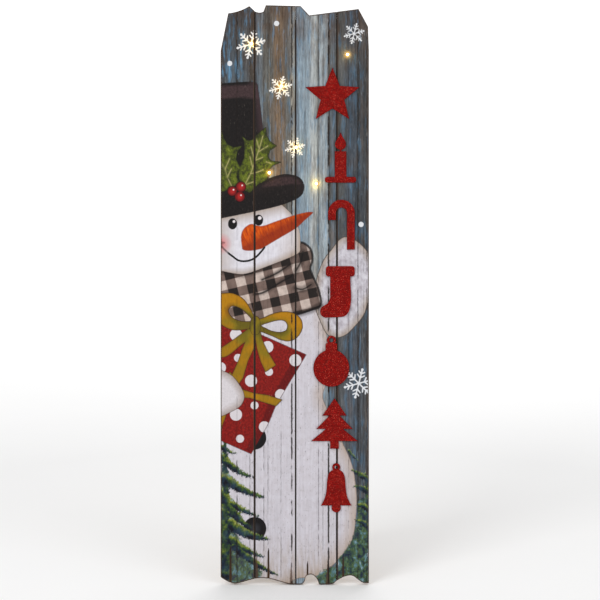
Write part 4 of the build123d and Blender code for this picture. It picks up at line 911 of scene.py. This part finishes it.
def raw_board():
    """Board edges and backs: brown-stained near the printed face, plain fibreboard behind."""
    net = Net("plank_board")
    fibre = net.noise(1.1, 1.1, 1.1, seed=1.0, detail=5.0, rough=0.7)
    patch = net.noise(60, 80, 60, seed=2.0)
    base = net.ramp(fibre, [(0.3, rgb(150, 118, 84)), (0.5, rgb(176, 144, 106)), (0.72, rgb(198, 168, 130))])
    base = net.tint(base, patch.band(0.3, 0.7, 0.92, 1.06))
    grain = net.noise(3.5, 140, 30, seed=5.0, detail=4.0, rough=0.6)
    base = net.tint(base, grain.band(0.3, 0.7, 0.88, 1.07))
    base = net.tint(base, net.x.band(-69, -68.9, 0.94, 1.03) * net.x.band(1.5, 1.6, 1.0, 0.93)
                    * net.x.band(72.5, 72.6, 1.0, 1.07))
    scuff = net.noise(1.6, 22, 30, seed=6.0, detail=4.0, rough=0.7).band(0.66, 0.72)
    base = net.mix(scuff * 0.45, base, rgb(126, 98, 68))
    # dark lines along each plank joint; where they fall on the strips that close the hairlines they are
    # painted shade
    for joint in JOINTS:
        base = net.mix((abs(net.x - joint) - 0.5).inside(0.7) * 0.85, base, rgb(70, 50, 34))
    layers = net.noise(30, 30, 0.9, seed=3.0, detail=2.0)
    side = net.d.band(8.8, 8.4)
    base = net.mix(side * 0.6, base, net.tint(rgb(140, 108, 76), layers.band(0.3, 0.7, 0.8, 1.2)))
    stain = (net.d + fibre * 1.6).band(3.4, 2.2)
    dark = net.mix(fibre.band(0.35, 0.65), rgb(20, 17, 15), rgb(44, 34, 28))
    color = net.mix(stain, base, dark)
    return net.done(color, 0.72, bump=fibre, depth=0.12)


def glitter():
    """Red glitter: small flakes each tinted their own way, the palest few of them painted sparkle (painted
    highlights), dark red lacquer between and on the sides.
    """
    net = Net("red_glitter")
    tone = net.cells(0.7, 0.7, 0.7, out="Color")
    edge = net.cells(0.7, 0.7, 0.7)
    split = net.node("ShaderNodeSeparateColor", {0: tone}).socket.node
    a, b, c = (S(net, socket) for socket in split.outputs)
    # the top of this ramp gives the palest few flakes a pale pink: painted sparkle highlights
    red = net.ramp(a, [(0.0, rgb(92, 3, 1)), (0.4, rgb(132, 6, 2)), (0.8, rgb(156, 10, 4)),
                       (0.95, rgb(190, 26, 14)), (1.0, rgb(240, 112, 90))])
    shade = net.noise(7, 7, 7, seed=4.0)
    red = net.tint(red, shade.band(0.3, 0.7, 0.82, 1.15))
    red = net.mix(edge.band(0.4, 0.62) * 0.5, red, rgb(60, 6, 6))
    face = net.d.band(-3.0, -3.15)
    color = net.mix(face, net.tint(rgb(104, 16, 10), shade.band(0.3, 0.7, 0.8, 1.2)), red)
    sparkle = face * c.band(0.55, 0.9) * 0.3
    return net.done(color, b.band(0, 1, 0.22, 0.5), sparkle, a * 1.5 + b, 0.14, Specular_IOR_Level=0.1)



def pine(name, tall, seed, base=(206, 172, 124)):
    """Planed pine: growth lines drawn out along the piece, a few knots and soft pores."""
    net = Net(name)
    sx, sh = (26, 260) if tall else (260, 26)
    warp = net.noise(sx * 0.9, sh * 0.9, 24, seed=seed, detail=2.0)
    across = net.x if tall else net.h
    rings = net.math("SINE", (across + net.d * 0.6 + warp * 44.0) * 1.15).band(-1.2, 1)
    pores = net.noise(0.7 if tall else 22, 22 if tall else 0.7, 0.7, seed=seed + 1, detail=3.0)
    knot = net.cells(70 if tall else 120, 120 if tall else 70, 60, seed=seed).band(0.12, 0.05)
    color = net.mix(rings * 0.42, rgb(*base), rgb(base[0] * 0.8, base[1] * 0.72, base[2] * 0.62))
    color = net.tint(color, pores.band(0.3, 0.7, 0.9, 1.06))
    color = net.tint(color, net.noise(50, 60, 40, seed=seed + 2).band(0.3, 0.7, 0.92, 1.06))
    color = net.mix(knot * 0.85, color, rgb(118, 72, 40))
    return net.done(color, pores.band(0.2, 0.8, 0.5, 0.66), bump=pores + rings * 0.4, depth=0.12)


def metal(name, color, rough, seed):
    """Plated metal: fine drawn scratches, cloudy tarnish."""
    net = Net(name)
    scratch = net.noise(6, 0.5, 6, seed=seed, detail=3.0)
    cloud = net.noise(7, 9, 7, seed=seed + 1, detail=4.0)
    tone = net.tint(rgb(*color), scratch.band(0.3, 0.7, 0.9, 1.08))
    tarnish = rgb(color[0] * 0.6, color[1] * 0.52, color[2] * 0.42)
    tone = net.mix(cloud.band(0.5, 0.75) * 0.25, tone, tarnish)
    return net.done(tone, cloud.band(0.25, 0.75, rough, rough + 0.2), 1.0, bump=scratch, depth=0.05)


def plastic(name, color, rough, seed, grain=0.5, coat=0.0):
    """Moulded plastic: fine spark-erosion grain, faint cloudiness."""
    net = Net(name)
    fine = net.noise(grain, grain, grain, seed=seed, detail=2.0)
    cloud = net.noise(22, 22, 22, seed=seed + 1)
    tone = net.tint(rgb(*color), cloud.band(0.3, 0.7, 0.9, 1.08))
    return net.done(tone, fine.band(0.3, 0.7, rough, rough + 0.12), bump=fine, depth=0.08, Coat_Weight=coat)


def circuit():
    """Circuit board: green resist with paler tracks."""
    net = Net("circuit_board")
    tracks = net.cells(4.0, 4.0, 4.0, feature="DISTANCE_TO_EDGE").band(0.12, 0.08)
    color = net.mix(tracks, rgb(20, 82, 48), rgb(60, 128, 78))
    return net.done(color, 0.35, bump=tracks, depth=0.05, Coat_Weight=0.4)


def sleeve():
    """A plain cell sleeve: dark body with a copper-coloured end and no lettering."""
    net = Net("cell_sleeve")
    low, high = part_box("battery_left")
    middle = board((np.array(low) + np.array(high)) / 2)[1]
    end = (net.h - float(middle) - 8.0).band(-0.4, 0.4)
    scuff = net.noise(3, 10, 3, seed=3.0, detail=4.0)
    color = net.mix(end, rgb(34, 36, 40), rgb(176, 118, 66))
    color = net.tint(color, scuff.band(0.3, 0.7, 0.88, 1.1))
    return net.done(color, scuff.band(0.3, 0.7, 0.26, 0.42), end * 0.6, bump=scuff, depth=0.02)


def lamp():
    """Warm light: brightest at the tip of the lens, dimmer at its root."""
    net = Net("clear_bulb")
    heat = net.ramp(net.d.band(0.0, -5.2), [(0.0, rgb(255, 180, 76)), (0.45, rgb(255, 214, 110)),
                                            (0.8, rgb(255, 236, 160)), (1.0, rgb(255, 250, 226))])
    haze = net.noise(1.2, 1.2, 1.2, seed=1.0)
    glass = net.tint(rgb(250, 226, 190), haze.band(0.3, 0.7, 0.94, 1.04))
    return net.done(glass, 0.08, Emission_Color=heat, Emission_Strength=7.0, Coat_Weight=1.0)


# ---------------------------------------------------------------- finishes on the pieces
FACE = picture()
BOARD = raw_board()
GLITTER = glitter()
LAMP = lamp()
BATTEN = pine("batten_wood", False, 2.0)
STRUT = pine("strut_wood", True, 5.0)
ZINC = metal("zinc_steel", (196, 198, 202), 0.28, 1.0)
HINGE = metal("hinge_brass", (198, 168, 98), 0.26, 2.0)
NICKEL = metal("nickel_steel", (206, 202, 192), 0.2, 3.0)
HOLDER = plastic("holder_plastic", (214, 214, 208), 0.35, 1.0)
WIRE = plastic("wire_green", (22, 58, 34), 0.32, 2.0, 0.4)
BOX = plastic("box_plastic", (30, 31, 33), 0.42, 3.0, 0.45)
SLIDER = plastic("slider_plastic", (222, 222, 218), 0.3, 4.0)
FOAM = plastic("foam", (228, 226, 218), 0.85, 5.0, 0.9)
CIRCUIT = circuit()
CELL = sleeve()
BY_NAME = (
    ("plank_", BOARD), ("cutout_", GLITTER), ("strut_leaf_screws", ZINC), ("strut_leaf", HINGE),
    ("strut", STRUT), ("batten_screws", ZINC), ("batten_leaf_screws", ZINC), ("batten_leaf", HINGE),
    ("hinge_pin", HINGE), ("hanger", ZINC), ("bulb_holders", HOLDER), ("light_wire", WIRE),
    ("wire_staples", ZINC), ("battery_case", BOX), ("battery_cover", BOX), ("foam_pad", FOAM),
    ("switch_panel", BOX), ("timer_board", CIRCUIT), ("switch_can", NICKEL), ("switch_slider", SLIDER),
    ("battery_", CELL), ("contact_", NICKEL), ("bulb_", LAMP), ("print_", FACE),
)
for name, node in NODES.items():
    finish = BATTEN if name.endswith("batten") else next(m for key, m in BY_NAME if name.startswith(key))
    if not node.material_slots:
        node.data.materials.append(finish)
    for place in node.material_slots:
        place.material = finish

for n in (1, 2, 3, 4):
    sheet = panel(NODES[f"print_{n}"])
    sheet.data.materials.append(FACE)
    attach(sheet, "sign")
    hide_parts(f"print_{n}")


def joint_shade_strip(number, x):
    """A thin upright strip behind the groove that closes the hairline between two planks, dark from the
    board's joint lines: painted shade for the dark deep in that hairline.
    """
    rise = np.linspace(40, 970, 94)
    ring = [(x - 0.16, 3.6), (x + 0.16, 3.6), (x + 0.16, 7.5), (x - 0.16, 7.5)]
    points = [(a, h, d) for h in rise for a, d in ring]
    top = 4 * (len(rise) - 1)
    faces = between_rings(len(rise), 4) + [(3, 2, 1, 0), (top, top + 1, top + 2, top + 3)]
    obj = surface(f"joint_shade_strip_{number}", points, faces)
    obj.data.materials.append(BOARD)
    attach(obj, "sign")


for number, x in enumerate(JOINTS, 1):
    joint_shade_strip(number, x)


def lens(number, x, h):
    """A light's lens: a round-ended barrel, revolved from its seat in the board to its tip in front."""
    turns, steps, radius = 40, 16, 2.4
    rise = np.linspace(0, math.pi / 2, steps)
    profile = [(0.0, 2.2), (2.3, 2.2), (radius, 2.0), (radius, -2.7), (radius, -2.9)]
    profile += [(radius * math.cos(a), -3.0 - radius * math.sin(a)) for a in rise[1:-1]]
    ring = np.linspace(0, 2 * math.pi, turns, endpoint=False)
    points = [(x, h, profile[0][1])]
    for r, d in profile[1:]:
        points += [(x + r * math.cos(a), h + r * math.sin(a), d) for a in ring]
    points.append((x, h, -3.0 - radius))
    last = len(profile) - 1
    faces = [(0, 1 + (k + 1) % turns, 1 + k) for k in range(turns)]
    faces += between_rings(last, turns, 1)
    top = 1 + (last - 1) * turns
    faces += [(top + k, top + (k + 1) % turns, len(points) - 1) for k in range(turns)]
    faces = [face[::-1] for face in faces]
    obj = surface(f"lens_{number}", points, faces, smooth=True)
    obj.data.materials.append(LAMP)
    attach(obj, "sign")
    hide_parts(f"bulb_{number}")
    glow = bpy.data.lights.new(f"glow_{number}", "POINT")
    glow.energy = 0.013
    glow.color = (1.0, 0.68, 0.15)
    glow.shadow_soft_size = 0.003
    linked(f"glow_{number}", glow).location = world((x, h, -6.5))


for number, (x, h) in enumerate(BULBS, 1):
    lens(number, x, h)


# ---------------------------------------------------------------- floor, backdrop, light and camera
def backdrop(name, profile, lift):
    """A pale round of studio paper about the object: the profile (radius, height) turned once round the
    upright axis. lift brightens it away from the object, so that the far floor and the rise run into white."""
    turns = 96
    ring = np.linspace(0, 2 * math.pi, turns, endpoint=False)
    points = [(r * math.cos(a), r * math.sin(a), z) for r, z in profile for a in ring]
    faces = [(a, d, c, b) for a, b, c, d in between_rings(len(profile), turns)]
    if profile[0][0] < 0.1:
        faces.append(tuple(range(turns)))
    me = bpy.data.meshes.new(name)
    me.from_pydata(points, [], faces)
    me.polygons.foreach_set("use_smooth", [True] * len(me.polygons))
    net = Net(name)
    tone = net.tint(rgb(246, 246, 246), net.noise(300, 300, 300).band(0, 1, 0.98, 1.0))
    flat = net.vector("MULTIPLY", net.node("ShaderNodeTexCoord", out=3), (1.0, 1.0, 0.0))
    shine = net.tint(rgb(255, 255, 255), net.vector("LENGTH", flat, (0.0, 0.0, 0.0), out=1).band(1.0, 4.0))
    me.materials.append(net.done(tone, 0.9, Emission_Color=shine, Emission_Strength=lift))
    obj = linked(name, me)
    return obj


LIFT, FLOOR_RADIUS, BEND_RADIUS = 0.46, 4.2, 1.6
backdrop("floor_paper", [(r, 0.0) for r in (0.01, 1.0, 2.0, 3.0, FLOOR_RADIUS)], LIFT)
BEND = [(FLOOR_RADIUS + BEND_RADIUS * math.sin(a), BEND_RADIUS - BEND_RADIUS * math.cos(a))
        for a in np.linspace(0, math.pi / 2, 24)]
rise = backdrop("rise_paper", BEND + [(5.8, 4.0), (5.8, 7.0)], LIFT)
rise.visible_diffuse = rise.visible_glossy = rise.visible_shadow = False


def aimed(obj, place, target):
    """Stands obj at place, turned to face target."""
    obj.location = place
    obj.rotation_euler = (Vector(target) - Vector(place)).to_track_quat("-Z", "Y").to_euler()


def soft_light(name, place, size, power):
    """A soft box in metres, turned to the middle of the object."""
    data = bpy.data.lights.new(name, "AREA")
    data.shape = "RECTANGLE"
    data.size, data.size_y = size
    data.energy = power
    aimed(linked(name, data), place, (0, 0, 0.5))


soft_light("key", (-1.9, -2.4, 2.4), (1.6, 1.6), 46)
soft_light("fill", (2.2, -2.2, 1.4), (1.8, 1.8), 22)
soft_light("back", (0.4, 2.2, 2.6), (2.0, 1.2), 26)
sky = bpy.data.worlds.new("studio")
sky.use_nodes = True
background = sky.node_tree.nodes["Background"]
background.inputs["Color"].default_value = (1.0, 1.0, 1.0, 1.0)
background.inputs["Strength"].default_value = 0.62
bpy.context.scene.world = sky

eye = bpy.data.cameras.new("camera")
eye.lens = 100
eye.sensor_width = 36
camera = linked("camera", eye)
aimed(camera, world((9, 491, -2878)), world((9, 491, 0)))
bpy.context.scene.camera = camera
bpy.context.scene.view_settings.view_transform = "Standard"
bpy.context.scene.view_settings.look = "None"
